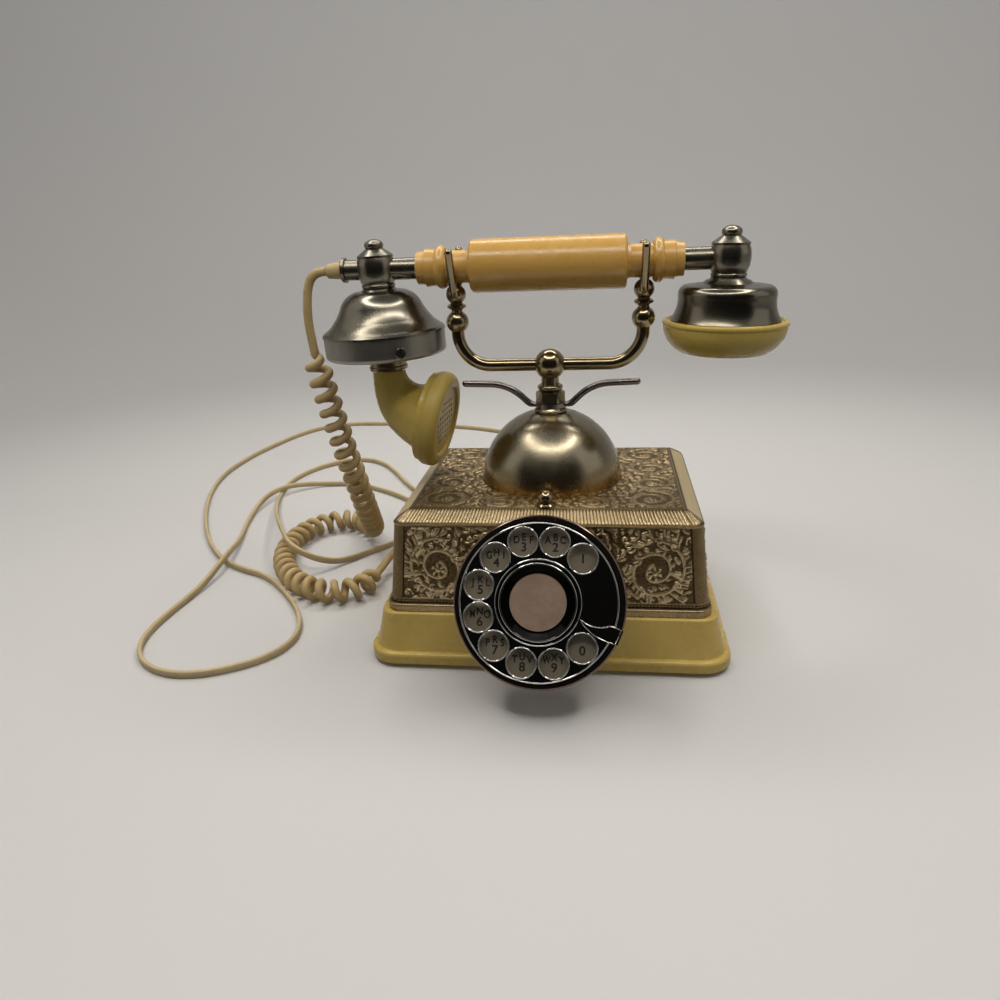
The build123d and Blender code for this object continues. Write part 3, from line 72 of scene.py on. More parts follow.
# Camera, fitted to the photograph: place, yaw, pitch and roll in degrees, and lens
CAMERA_PLACE = (0.02897, -0.40135, 0.22688)
CAMERA_TURNS = (-8.0517, 20.3645, -2.4958)
LENS, SENSOR, NEAR_CLIP = 27.66, 36, 0.01


def place_camera():
    yaw, pitch, roll = (math.radians(angle) for angle in CAMERA_TURNS)
    forward = Vector((math.sin(yaw) * math.cos(pitch), math.cos(yaw) * math.cos(pitch), -math.sin(pitch)))
    level = Vector((math.cos(yaw), -math.sin(yaw), 0))
    above = level.cross(forward)
    right = level * math.cos(roll) + above * math.sin(roll)
    up = above * math.cos(roll) - level * math.sin(roll)
    data = bpy.data.cameras.new("camera")
    data.sensor_fit = "HORIZONTAL"
    data.sensor_width = SENSOR
    data.lens = LENS
    data.clip_start = NEAR_CLIP
    camera = add_object("camera", data)
    camera.matrix_world = placing(CAMERA_PLACE, right, up, -forward)
    scene.camera = camera


place_camera()


# Meshes
def new_object(name, verts, faces, smooth=True):
    mesh = bpy.data.meshes.new(name)
    mesh.from_pydata([tuple(v) for v in verts], [], [tuple(f) for f in faces])
    mesh.polygons.foreach_set("use_smooth", [smooth] * len(mesh.polygons))
    mesh.update()
    return add_object(name, mesh)


def grid_faces(rows, columns, closed=False, start=0):
    """Quads over rows of points; closed joins the last column to the first."""
    r, c = np.meshgrid(np.arange(rows - 1), np.arange(columns if closed else columns - 1), indexing="ij")
    after = (c + 1) % columns
    low, high = r * columns, (r + 1) * columns
    quads = np.stack([low + c, low + after, high + after, high + c], -1)
    return (quads.reshape(-1, 4) + start).tolist()


def tube(name, path, ring, sides, ups):
    """Tube with closed ends: a ring's points (side, up) carried along a path."""
    path, ring = np.asarray(path), np.asarray(ring)
    verts = path[:, None, :] + ring[None, :, :1] * sides[:, None, :] + ring[None, :, 1:] * ups[:, None, :]
    count = len(ring)
    faces = grid_faces(len(path), count, closed=True)
    faces.append(list(range(count))[::-1])
    faces.append([(len(path) - 1) * count + i for i in range(count)])
    return new_object(name, verts.reshape(-1, 3), faces)


def ring_points(half_side, half_up, count, power=1.0):
    """Points (side, up) of an oval ring, squared off where power is under 1."""
    angle = np.linspace(0, 2 * math.pi, count, endpoint=False)
    ring = np.stack([np.cos(angle), np.sin(angle)], 1)
    return (half_side, half_up) * np.sign(ring) * np.abs(ring) ** power


def mesh_of(name, curve):
    """Mesh of a curve or a text."""
    holder = add_object(name, curve)
    mesh = bpy.data.meshes.new_from_object(holder)
    bpy.data.objects.remove(holder)
    return mesh


# Cords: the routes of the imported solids, in millimetres. A point without a height lies on the desk
LEAD_ROUTE = [
    (-121.9, 24, 201.5), (-126.2, 24, 201.5), (-131.0, 24, 198.9), (-133.8, 24, 193.6),
    (-135.2, 23.9, 186.6), (-135.9, 23.7, 179), (-135.87, 23.6, 171.1), (-135.2, 24, 162.6),
]
CURL_ROUTE = [
    (-135.2, 24, 162.6), (-134.2, 24.6, 150), (-132.6, 26, 137), (-130.6, 28, 124), (-128.6, 31, 109),
    (-126.8, 36, 92), (-125.5, 44, 73.5), (-126, 57, 53), (-129, 75, 34.5), (-134, 96, 19.5),
    (-142, 116, 10.5), (-153, 131, 8.8), (-167, 137, 8.6), (-181, 131, 8.6), (-191, 117, 8.6),
    (-196, 97, 8.6), (-194, 73, 8.6), (-184, 48, 8.6), (-169, 28, 8.6), (-151, 16, 8.6),
    (-134, 14.5, 8.6), (-122.5, 22, 8.6), (-118, 35, 8.6), (-117.2, 46, 8.6),
]
TAIL_ROUTE = [
    (-117.2, 46, 8.6), (-116.68, 53.2, 8.6), (-114.6, 60.2, 11.0), (-111.2, 64.9, 14.4),
    (-107.2, 66, 16), (-103, 66, 16),
]
LINE_ROUTE = [
    (-50, 103, 16), (-50, 110, 16), (-50.6, 119, 14.2), (-53.5, 130, 9.4), (-61, 139.5, 4.6),
    (-73, 145, 2.5), (-88, 142.5), (-104, 131.5), (-117, 115), (-128, 100.5), (-138, 89),
    (-146.5, 78, 2.5), (-155, 68, 4.4), (-164, 60, 9.6), (-174.5, 56.5, 16.2), (-186, 63, 20.4),
    (-195, 78, 20.6), (-205, 96, 18.6), (-217, 119, 14), (-230.5, 146, 9), (-242.5, 175, 4.8),
    (-251.5, 203, 2.5), (-257, 231), (-255.5, 259), (-246.5, 283), (-232, 301.5), (-215, 311.5),
    (-197.5, 309), (-181.5, 296), (-167, 275.5), (-152.5, 250), (-138, 226), (-121.5, 206), (-100, 193),
    (-74, 188.5), (-47, 196), (-24.5, 217), (-9.5, 250), (-4.5, 292), (-13, 337), (-37, 378),
    (-72, 409), (-112, 429), (-152, 440), (-192, 447.5), (-232, 452.5), (-268, 451), (-296, 434),
    (-313, 402), (-325, 358), (-333, 311), (-333.5, 264.5), (-323.5, 220), (-307.5, 178), (-289, 140),
    (-270, 107.5), (-250.5, 81.5), (-233, 65), (-216, 55.5), (-201.5, 49.5), (-188, 38.5), (-173, 22),
    (-159.5, 4), (-150, -13.5), (-146, -30), (-149, -44.5), (-157, -55.5), (-168.5, -64), (-183, -71),
    (-199.5, -73), (-216, -67.5), (-229.5, -55.5), (-237, -39.5), (-239, -21.5), (-238, -2.5),
    (-236, 17, 2.5), (-234, 36, 4.6), (-234.2, 55, 7.5), (-236.8, 76, 7.5), (-241.2, 97, 4.6),
    (-247, 118, 2.5), (-253.5, 139), (-258, 160, 2.5), (-259.8, 179, 4.8), (-257.5, 198, 7.5),
    (-249, 216.5, 7.5), (-236, 230, 4.8), (-219, 237.5, 2.5), (-200, 238), (-180.5, 231.5),
    (-161, 219.5), (-143.5, 205.5), (-128, 191.5), (-114.5, 179, 3.2), (-104.5, 170.5, 3.2),
]
ON_DESK, SPLINE_STEPS = 2.3, 24


def route_points(route):
    """Points along the NURBS spline that a route's points control."""
    curve = bpy.data.curves.new("route", "CURVE")
    curve.dimensions = "3D"
    curve.resolution_u = SPLINE_STEPS
    spline = curve.splines.new("NURBS")
    spline.points.add(len(route) - 1)
    for point, place in zip(spline.points, route):
        x, y, z = (*place, ON_DESK)[:3]
        point.co = (x * MM, y * MM, z * MM, 1)
    spline.order_u = 3
    spline.use_endpoint_u = True
    mesh = mesh_of("route", curve)
    points = np.array([v.co for v in mesh.vertices])
    bpy.data.meshes.remove(mesh)
    bpy.data.curves.remove(curve)
    return points


def along(points):
    """Distance along a path at each of its points."""
    return np.concatenate([[0], np.cumsum(np.linalg.norm(np.diff(points, axis=0), axis=1))])


def resample(points, places):
    """Points at given distances along a path."""
    reach = along(points)
    return np.stack([np.interp(places, reach, points[:, i]) for i in range(3)], 1)


def directions(points):
    step = np.gradient(points, axis=0)
    return step / np.linalg.norm(step, axis=1)[:, None]


def carried_frames(points):
    """Sides and ups of a path, carried along it without twisting."""
    forward = directions(points)
    side = np.cross(forward[0], (0, 1, 0))
    sides = []
    for tangent in forward:
        side = side - tangent * side.dot(tangent)
        side = side / np.linalg.norm(side)
        sides.append(side)
    sides = np.array(sides)
    return sides, np.cross(forward, sides)


WIRE, CURL, TURNS, STRAIGHT_TURNS = 2.5 * MM, 5.3 * MM, 45, 0.55
LEAD_STEPS, TURN_STEPS, TAIL_STEPS, WIRE_SIDES = 40, 30, 26, 14


def make_handset_cord():
    """One unbroken wire: a straight lead, the curls and a straight tail."""
    axis = route_points(LEAD_ROUTE + CURL_ROUTE[1:] + TAIL_ROUTE[1:])
    reach = along(axis)
    ends = [np.array(place) * MM for place in (CURL_ROUTE[0], CURL_ROUTE[-1])]
    first, last = (reach[np.argmin(np.linalg.norm(axis - end, axis=1))] for end in ends)
    places = np.concatenate([
        np.linspace(0, first, LEAD_STEPS, endpoint=False),
        np.linspace(first, last, TURN_STEPS * TURNS, endpoint=False),
        np.linspace(last, reach[-1], TAIL_STEPS),
    ])
    axis = resample(axis, places)
    sides, ups = carried_frames(axis)
    done = np.clip((places - first) / (last - first), 0, 1)
    rise = np.clip(np.minimum(done, 1 - done) * TURNS - STRAIGHT_TURNS, 0, 1)
    radius = (CURL * rise * rise * (3 - 2 * rise))[:, None]
    turn = (2 * math.pi * TURNS * done)[:, None]
    path = axis + sides * radius * np.cos(turn) + ups * radius * np.sin(turn)
    sides, ups = carried_frames(path)
    cord = tube("handset_cord", path, ring_points(WIRE, WIRE, WIRE_SIDES), sides, ups)
    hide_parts("handset_cord_lead", "handset_cord_curls", "handset_cord_tail")
    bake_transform(cord)
    return cord


LINE_THICK, LINE_WIDE, LINE_SQUARE = 2.7 * MM, 4.5 * MM, 0.62
LINE_SIDES, LINE_STEPS = 18, 1500


def make_line_cord():
    """Flat cord that stands on its narrow edge."""
    axis = route_points(LINE_ROUTE)
    path = resample(axis, np.linspace(0, along(axis)[-1], LINE_STEPS))
    forward = directions(path)
    sides = np.cross(forward, (0, 0, 1))
    sides = sides / np.linalg.norm(sides, axis=1)[:, None]
    ring = ring_points(LINE_THICK / 2, LINE_WIDE / 2, LINE_SIDES, LINE_SQUARE)
    cord = tube("line_cord_flat", path, ring, sides, np.cross(sides, forward))
    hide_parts("line_cord")
    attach(cord, "base")
    return cord


# The plug's boxes: size, place from the cord's end and bevel, in metres
PLUG_START, PLUG_AHEAD = Vector((-0.1045, 0.1705, 0.0032)), Vector((10, -8.5, 0)).normalized()
PLUG_BOXES = {
    "plug_body": [
        ((0.0108, 0.0128, 0.0062), (0, 0.0134, 0), 0.0006),
        ((0.0082, 0.0076, 0.0052), (0, 0.0038, 0), 0.0008),
        ((0.0034, 0.0112, 0.0009), (0, 0.0116, 0.0028), 0.0002),
    ],
    "plug_contacts": [
        ((0.0007, 0.0042, 0.0008), (0.0012 * i, 0.0172, -0.0027), 0.0001) for i in (-1.5, -0.5, 0.5, 1.5)
    ],
}


def box_into(bm, size, place, turn, bevel):
    """Add a box with rounded edges to a mesh."""
    made = bmesh.ops.create_cube(bm, size=1.0)
    bmesh.ops.scale(bm, vec=size, verts=made["verts"])
    edges = list({e for v in made["verts"] for e in v.link_edges})
    cut = bmesh.ops.bevel(bm, geom=edges, offset=bevel, segments=2, affect="EDGES", profile=0.5)
    verts = list({v for f in cut["faces"] for v in f.verts} | {v for v in made["verts"] if v.is_valid})
    bmesh.ops.translate(bm, vec=place, verts=verts)
    bmesh.ops.transform(bm, matrix=turn, verts=verts)


def make_plug():
    """Small modular plug: pale body with its latch tab, and brass contacts."""
    up = Vector((0, 0, 1))
    turn = placing(PLUG_START, PLUG_AHEAD.cross(up), PLUG_AHEAD, up)
    pieces = []
    for name, boxes in PLUG_BOXES.items():
        bm = bmesh.new()
        for size, place, bevel in boxes:
            box_into(bm, size, place, turn, bevel)
        mesh = bpy.data.meshes.new(name)
        bm.to_mesh(mesh)
        bm.free()
        piece = add_object(name, mesh)
        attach(piece, "base")
        pieces.append(piece)
    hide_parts("line_plug")
    pieces[1].parent = pieces[0]
    pieces[1].matrix_parent_inverse = Matrix.Identity(4)
    return pieces


plug_body, plug_contacts = make_plug()
handset_cord = make_handset_cord()
line_cord = make_line_cord()


# Relief: height fields drawn from strokes, in millimetres. A scroll is its x, y, size and hand
STEM, STEM_STEPS = 2.0, 14
SCROLL_SHARES = (1.0, 0.76, 0.52, 0.3)
FULL_SCROLL = 15.5
FRINGE, FRINGE_BREAKS, FRINGE_LEAVES = 40, (15, 28), (6.4, 4.6, 3.0)
CURL_SPOTS, EYE_PETALS = (4, 11, 18, 25), 6
LOBE_POINTS, VOLUTE_STEPS, GROUND_GRAIN = 7, 16, 0.07
LONG_WALL = [(-56, 0, 15.5, 1), (-18.7, 0, 15.5, -1), (18.7, 0, 15.5, 1), (56, 0, 15.5, -1)]
SHORT_WALL = [(-39, 0, 15.5, 1), (0, 0, 15.5, 1), (39, 0, 15.5, -1)]
DIAL_WALL = [(-56, 0, 15.5, 1), (-28, 1, 10.5, -1), (28, 1, 10.5, 1), (56, 0, 15.5, -1)]
TOP_SCROLLS = [
    (sx * x, sy * y, size, sx * sy) for x, y, size in ((55, 39, 12.5), (57, 13, 11), (24, 45.4, 7.6))
    for sx in (-1, 1) for sy in (-1, 1)
]


def unit(angle):
    return np.array([math.cos(angle), math.sin(angle)])


class Relief:
    """A height field centred on a flat panel, from 0 to about 1."""

    def __init__(self, width, height, pitch):
        self.u = np.linspace(-width / 2, width / 2, int(round(width / pitch)) + 1)
        self.v = np.linspace(-height / 2, height / 2, int(round(height / pitch)) + 1)
        self.h = np.zeros((len(self.v), len(self.u)))

    def stroke(self, points, widths, heights, vein=0.0):
        """Raise a rounded ridge along points; a vein is a groove along its middle."""
        points = np.asarray(points, float)
        count = len(points)
        widths, heights = np.broadcast_to(widths, count), np.broadcast_to(heights, count)
        pad = widths.max()
        for a in range(count - 1):
            p, q = points[a], points[a + 1]
            i0, i1 = np.searchsorted(self.u, (min(p[0], q[0]) - pad, max(p[0], q[0]) + pad))
            j0, j1 = np.searchsorted(self.v, (min(p[1], q[1]) - pad, max(p[1], q[1]) + pad))
            gu, gv = self.u[None, i0:i1] - p[0], self.v[j0:j1, None] - p[1]
            run = q - p
            t = np.clip((gu * run[0] + gv * run[1]) / max(run.dot(run), 1e-9), 0, 1)
            away = np.hypot(gu - t * run[0], gv - t * run[1])
            width = np.maximum(widths[a] + t * (widths[a + 1] - widths[a]), 0.05)
            height = heights[a] + t * (heights[a + 1] - heights[a])
            ridge = height * np.sqrt(np.clip(1 - (away / width) ** 2, 0, 1))
            if vein:
                ridge = ridge * (1 - vein * np.exp(-(away / (0.3 * width)) ** 2))
            self.h[j0:j1, i0:i1] = np.maximum(self.h[j0:j1, i0:i1], ridge)

    def ball(self, place, radius):
        self.stroke([place, place + 1e-3], radius, 1.0)

    def lobe(self, root, angle, bend, length, width, height):
        """A drop-shaped lobe that leaves its root at an angle and bends."""
        s = np.linspace(0, 1, LOBE_POINTS)
        turns = angle + bend * s ** 1.5
        steps = np.stack([np.cos(turns), np.sin(turns)], 1) * length / (LOBE_POINTS - 1)
        points = root + np.concatenate([[(0, 0)], np.cumsum(steps[:-1], 0)])
        self.stroke(points, width * (0.3 + 0.7 * s ** 0.8), height * (0.6 + 0.4 * s))

    def leaf(self, root, angle, hand, size, count):
        """An acanthus leaf: lobes that fan out to one side, the first the longest."""
        for k in range(count):
            grow = (1 - 0.16 * k) * (1 + 0.1 * random.standard_normal())
            self.lobe(root, angle + hand * (0.05 + 0.34 * k), hand * (0.75 - 0.3 * k), size * grow,
                      0.105 * size + 0.12, 0.78 + 0.07 * k)

    def curl(self, root, angle, hand, size):
        """A small volute with a ball in its eye."""
        s = np.linspace(0, 1, VOLUTE_STEPS)
        turns = angle + hand * 5.2 * s ** 1.3
        steps = np.stack([np.cos(turns), np.sin(turns)], 1) * (size * 3.1 / VOLUTE_STEPS)
        points = root + np.cumsum(steps * (1.25 - 0.95 * s)[:, None], 0)
        self.stroke(points, 0.16 * size * (0.6 + 0.4 * s) + 0.14, 0.95)
        self.ball(points[-1], 0.2 * size + 0.16)

    def scroll(self, x, y, size, hand):
        """A main scroll: spiral stem, fringe of leaves outside and curls inside."""
        centre, turn, stem, out = np.array([x, y], float), math.pi / 2, [], []
        radii = [(size - STEM / 2) * share for share in SCROLL_SHARES]
        for radius, after in zip(radii, radii[1:] + radii[-1:]):
            for k in range(STEM_STEPS):
                out.append(turn + hand * math.pi * k / STEM_STEPS)
                stem.append(centre + radius * unit(out[-1]))
            turn += hand * math.pi
            centre = centre + unit(turn) * (radius - after)
        share = size / FULL_SCROLL
        self.stroke(stem, STEM / 2 * (0.75 + 0.25 * share), 0.8, vein=0.35)
        for i in range(FRINGE):
            back = out[i] - hand * (math.pi / 2 - 0.35) + 0.14 * random.standard_normal()
            leaf_size = FRINGE_LEAVES[np.searchsorted(FRINGE_BREAKS, i, side="right")]
            grow = share * leaf_size * (1 + 0.15 * random.standard_normal())
            if i < FRINGE_BREAKS[-1] or i % 2:
                self.leaf(stem[i], back, hand, grow, 2 + i % 2)
        for i in CURL_SPOTS:
            inward = out[i] + math.pi + hand * 0.8
            self.curl(stem[i] + 0.6 * unit(inward), inward, hand, 3.4 * share)
        for k in range(EYE_PETALS):
            self.lobe(centre, turn + k * 2 * math.pi / EYE_PETALS, 0.5, size * 0.2, 0.06 * size, 0.9)
        self.ball(centre, size * 0.1)

    def fill(self, scrolls, gap, size, margin):
        """Leaves, curls and berries on bare ground, turning with the nearest scroll."""
        scrolls = np.array(scrolls, float)
        reach = int(round(gap / (self.u[1] - self.u[0])))
        for index in random.permutation(self.h.size)[: self.h.size // 5]:
            j, i = divmod(index, self.h.shape[1])
            near = self.h[max(j - reach, 0): j + reach + 1, max(i - reach, 0): i + reach + 1]
            spot = np.array([self.u[i], self.v[j]])
            away = scrolls[:, :2] - spot
            k = np.argmin(np.hypot(*away.T) / scrolls[:, 2])
            inside = np.hypot(*away[k]) < 0.72 * scrolls[k, 2]
            if near.max() > 0.2 or inside or abs(spot[0]) > self.u[-1] - margin:
                continue
            hand = scrolls[k, 3]
            angle = math.atan2(away[k, 1], away[k, 0])
            angle += hand * (math.pi / 2 + 0.5 * random.standard_normal())
            pick, grow = random.random(), size * random.uniform(0.75, 1.25)
            if pick < 0.28:
                self.curl(spot - 0.4 * grow * unit(angle), angle, hand, grow * 0.62)
            elif pick < 0.36:
                self.ball(spot, 0.15 * grow)
            else:
                count = 5 if pick > 0.7 else 3
                self.leaf(spot - 0.5 * grow * unit(angle), angle - 0.6 * hand, hand, grow, count)

    def finish(self):
        """Matted ground and slightly uneven casting."""
        rough = random.standard_normal(self.h.shape)
        rough = (rough + np.roll(rough, 1, 0) + np.roll(rough, 1, 1) + np.roll(rough, (1, 1), (0, 1))) / 2
        self.h = np.clip(self.h + GROUND_GRAIN * rough * (1.2 - self.h), -0.15, 1.1)
        return self

    def at(self, u, v):
        """Heights at points, straight between the field's own."""
        i = np.clip(np.interp(u, self.u, np.arange(len(self.u))), 0, len(self.u) - 1.001)
        j = np.clip(np.interp(v, self.v, np.arange(len(self.v))), 0, len(self.v) - 1.001)
        i0, j0 = i.astype(int), j.astype(int)
        a, b = i - i0, j - j0
        h = self.h
        low = h[j0, i0] * (1 - a) + h[j0, i0 + 1] * a
        high = h[j0 + 1, i0] * (1 - a) + h[j0 + 1, i0 + 1] * a
        return low * (1 - b) + high * b


BARE_GAP = 1.2


def panel_relief(width, height, scrolls, pitch, size, margin):
    """A panel of main scrolls with leaves, curls and berries between them."""
    panel = Relief(width, height, pitch)
    for spot in scrolls:
        panel.scroll(*spot)
    panel.fill(scrolls, BARE_GAP, size, margin)
    return panel.finish()


# Housing levels: height, half width, half depth and corner radius
PLINTH = (29.6, 85.6, 70.2, 8.0)
WALL_LOW = (34.0, 84.0, 68.6, 7.0)
WALL_HIGH = (78.2, 79.7, 64.1, 6.0)
TOP = (83.2, 71.8, 55.1, 1.5)
WALL_MIDDLE = (WALL_LOW[0] + WALL_HIGH[0]) / 2
PANEL_LOW, PANEL_HIGH = 37.3, 76.6
PANEL_PITCH, PANEL_LEAF, PANEL_FRAME = 0.3, 5.4, 1.2
LONG_PANEL, SHORT_PANEL = 151.4, 120.4
PANELS = [
    (LONG_PANEL, DIAL_WALL, 5.0), (SHORT_PANEL, SHORT_WALL, 4.0), (LONG_PANEL, LONG_WALL, 4.0),
    (SHORT_PANEL, SHORT_WALL, 4.0),
]
BEAD_Z, BEAD_PITCH, RAIL_Z, TOP_RAIL_Z = 35.5, 1.75, 36.8, 77.3
BEAD_X, BEAD_Y, BEAD_CORNER = 77, 61, 7
ROW_PITCH, COLUMN_PITCH, BEVEL_ROWS = 0.42, 0.5, 15
FLUTES, COLUMNS_PER_FLUTE, CORNER_COLUMNS = 84, 4, 16
WALL_RUNS = ((75.3, -90), (59.9, 0), (75.3, 90), (59.9, 180))
CORNER_WALL, LONG_WALLS = 4, (0, 2)
RAISE = 0.95

# Patina: a tone of 0 is dark ground and 1 rubbed metal, and MATT_TONE is matt gilt
METAL_TONE = 0.7
MATT_TONE = 1 / METAL_TONE


def loop_columns():
    """Columns round the housing: x and y shares, outward angle, wall and place on it."""
    rows = []
    for wall, (half, angle) in enumerate(WALL_RUNS):
        count = FLUTES * COLUMNS_PER_FLUTE if wall in LONG_WALLS else int(round(2 * half / COLUMN_PITCH))
        turn = math.radians(angle)
        out = unit(turn)
        ahead = np.array([-out[1], out[0]])
        for k in range(count):
            t = -1 + 2 * k / count
            rows.append((*(np.round(out, 6) + ahead * t), turn, wall, t))
        corner = np.round(out + ahead, 6)
        for k in range(CORNER_COLUMNS):
            share = k / CORNER_COLUMNS
            rows.append((*corner, turn + math.pi / 2 * share, CORNER_WALL, -1 + 2 * share))
    return np.array(rows)


class Skin:
    """Rows of points round the housing, each with the tone of its patina."""

    def __init__(self):
        self.cx, self.cy, self.turn, self.wall, self.place = loop_columns().T
        self.out = np.stack([np.cos(self.turn), np.sin(self.turn), np.zeros_like(self.turn)], 1)
        self.rows, self.tones = [], []
        self.corner = self.wall == CORNER_WALL
        self.long = np.isin(self.wall, LONG_WALLS)

    def half(self, sizes):
        """Half the straight length of each column's wall."""
        hx, hy, r = sizes
        return np.where(self.long, hx - r, hy - r)

    def noise(self, amount):
        return amount * random.standard_normal(len(self.cx))

    def row(self, z, hx, hy, r, tone, lift=0.0, tilt=0.0):
        """Add a row at a height, lifted outward along a direction that tilts up."""
        x = self.cx * (hx - r) + r * np.cos(self.turn)
        y = self.cy * (hy - r) + r * np.sin(self.turn)
        lean = self.out * math.cos(tilt) + np.array([0, 0, math.sin(tilt)])
        lift = np.broadcast_to(lift, self.cx.shape)[:, None]
        self.rows.append(np.stack([x, y, np.full_like(x, z)], 1) + lean * lift)
        self.tones.append(np.broadcast_to(tone, self.cx.shape) + self.noise(0.05))


def between(low, high, share):
    """Half width, half depth and corner radius a share of the way between two levels."""
    return [a + (b - a) * share for a, b in zip(low[1:], high[1:])]


def plinth_rows(skin):
    """Smooth plinth with a rounded top edge."""
    skin.row(PLINTH[0], PLINTH[1] - 5.3, PLINTH[2] - 5.3, 6.0, tone=0.3)
    skin.row(*PLINTH, tone=0.5)
    for z in np.linspace(30.2, 33.1, 8):
        skin.row(z, *PLINTH[1:], lift=skin.noise(0.03), tone=0.55)
    skin.row(33.6, PLINTH[1] - 0.3, PLINTH[2] - 0.3, 7.8, tone=0.6)
    skin.row(33.9, PLINTH[1] - 0.9, PLINTH[2] - 0.9, 7.4, tone=0.15)


def wall_rows(skin):
    """Bead row, rails and four framed panels of relief, with plain matted corners."""
    spots = np.stack([skin.cx * BEAD_X, skin.cy * BEAD_Y], 1) + BEAD_CORNER * skin.out[:, :2]
    beads = np.abs(np.sin(math.pi * along(spots) / BEAD_PITCH)) ** 0.7
    size = PANEL_HIGH - PANEL_LOW + 2
    panels = []
    for width, scrolls, margin in PANELS:
        panels.append(panel_relief(width, size, scrolls, PANEL_PITCH, PANEL_LEAF, margin))
    tilt = math.atan2(WALL_LOW[1] - WALL_HIGH[1], WALL_HIGH[0] - WALL_LOW[0])
    for z in np.arange(WALL_LOW[0], WALL_HIGH[0] + 0.01, ROW_PITCH):
        sizes = between(WALL_LOW, WALL_HIGH, (z - WALL_LOW[0]) / (WALL_HIGH[0] - WALL_LOW[0]))
        u = skin.place * skin.half(sizes)
        edge = np.where(skin.corner, 0, skin.half(sizes) - np.abs(u))
        lift, tone = skin.noise(0.03), np.full_like(u, 0.36)
        if z < PANEL_LOW:
            dots = np.clip(1 - ((z - BEAD_Z) / 0.75) ** 2, 0, 1) * beads
            rail = math.exp(-((z - RAIL_Z) / 0.35) ** 2)
            lift, tone = 0.7 * dots + 0.5 * rail, 0.03 + 0.72 * np.maximum(0.8 * dots, rail)
        elif z < PANEL_HIGH:
            for wall, panel in enumerate(panels):
                here = (skin.wall == wall) & (edge > PANEL_FRAME)
                high = panel.at(u[here], np.full(here.sum(), z - WALL_MIDDLE))
                lift[here], tone[here] = RAISE * high, 0.2 + 0.8 * high
            groove = (edge > 0.3) & (edge <= PANEL_FRAME)
            lift[groove], tone[groove] = -0.2, 0.0
        else:
            rail = math.exp(-((z - TOP_RAIL_Z) / 0.45) ** 2)
            lift, tone = 0.55 * rail + skin.noise(0.02), 0.1 + 0.65 * rail
        skin.row(z, *sizes, lift=lift, tilt=tilt, tone=tone)


def bevel_rows(skin):
    """Flutes along the front and back, fans in the corners and plain matted sides."""
    for share in np.linspace(0.06, 1, BEVEL_ROWS):
        sizes = between(WALL_HIGH, TOP, share)
        z = WALL_HIGH[0] + (TOP[0] - WALL_HIGH[0]) * share
        flute = np.abs(np.cos(math.pi * FLUTES * (skin.place + 1) / 2)) ** 0.6
        fan = np.abs(np.cos(math.pi * 2.5 * skin.place)) ** 0.6
        fluted = np.where(skin.corner, fan, np.where(skin.long, flute, 0.5 + skin.noise(0.1)))
        edge = np.clip(min(share / 0.12, (1 - share) / 0.1), 0, 1)
        dot = math.exp(-((share - 0.9) / 0.05) ** 2) * (1 - flute) * skin.long
        tone = np.clip(0.12 + 0.7 * fluted * edge - 0.9 * dot, 0, 1)
        tone = np.where(skin.corner | skin.long, tone, MATT_TONE * (0.6 + 0.4 * edge))
        skin.row(z, *sizes, lift=0.5 * fluted * edge - 0.3 * dot, tilt=math.pi / 4, tone=tone)


DOME_SEAT, FINIAL_SEAT, FINIAL_Y, POST_HOLE = 38.9, 4.6, -50.6, 8
TOP_EDGE, TOP_COLUMNS, TOP_ROWS = 0.3, 280, 214
TOP_PITCH, TOP_LEAF, TOP_MARGIN, TOP_RAISE = 0.34, 4.8, 2.0, RAISE * 0.9


def top_grid():
    """Points, faces and tones of the top, flat under dome and finial and open for the post."""
    width, depth = 2 * TOP[1] - TOP_EDGE, 2 * TOP[2] - TOP_EDGE
    half_x, half_y = width / 2, depth / 2
    panel = panel_relief(width, depth, TOP_SCROLLS, TOP_PITCH, TOP_LEAF, TOP_MARGIN)
    gu, gv = np.meshgrid(np.linspace(-half_x, half_x, TOP_COLUMNS), np.linspace(-half_y, half_y, TOP_ROWS))
    inset = np.minimum(half_x - np.abs(gu), half_y - np.abs(gv))
    flat = np.clip((np.hypot(gu, gv) - DOME_SEAT) / 1.5, 0, 1)
    flat = flat * np.clip((np.hypot(gu, gv - FINIAL_Y) - FINIAL_SEAT) / 1.2, 0, 1)
    high = panel.at(gu.ravel(), gv.ravel()).reshape(gu.shape) * np.clip((inset - 1.6) / 0.6, 0, 1) * flat
    rail = np.exp(-((inset - 0.9) / 0.4) ** 2)
    level = TOP[0] + TOP_RAISE * high + 0.4 * rail * (inset > 0.3)
    points = np.stack([gu, gv, level], -1).reshape(-1, 3)
    quads = np.array(grid_faces(*gu.shape))
    middle = np.hypot(gu.ravel()[quads].mean(1), gv.ravel()[quads].mean(1))
    return points, quads[middle > POST_HOLE], np.maximum(0.28 + 0.55 * high, 0.7 * rail).ravel()


def make_housing():
    """The decorated housing as one skin, with a tone of patina on each point."""
    skin = Skin()
    plinth_rows(skin)
    wall_rows(skin)
    bevel_rows(skin)
    verts, tones = np.concatenate(skin.rows), np.concatenate(skin.tones)
    faces = grid_faces(len(skin.rows), len(skin.cx), closed=True)
    points, quads, top_tones = top_grid()
    faces += (quads + len(verts)).tolist()
    verts, tones = np.concatenate([verts, points]), np.concatenate([tones, top_tones])
    piece = new_object("housing_relief", (verts + np.array(POST)) * MM, faces)
    attribute = piece.data.attributes.new("relief", "FLOAT", "POINT")
    attribute.data.foreach_set("value", (METAL_TONE * np.clip(tones, 0, MATT_TONE)).astype(np.float32))
    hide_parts("housing_shell")
    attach(piece, "base")
    return piece


housing = make_housing()


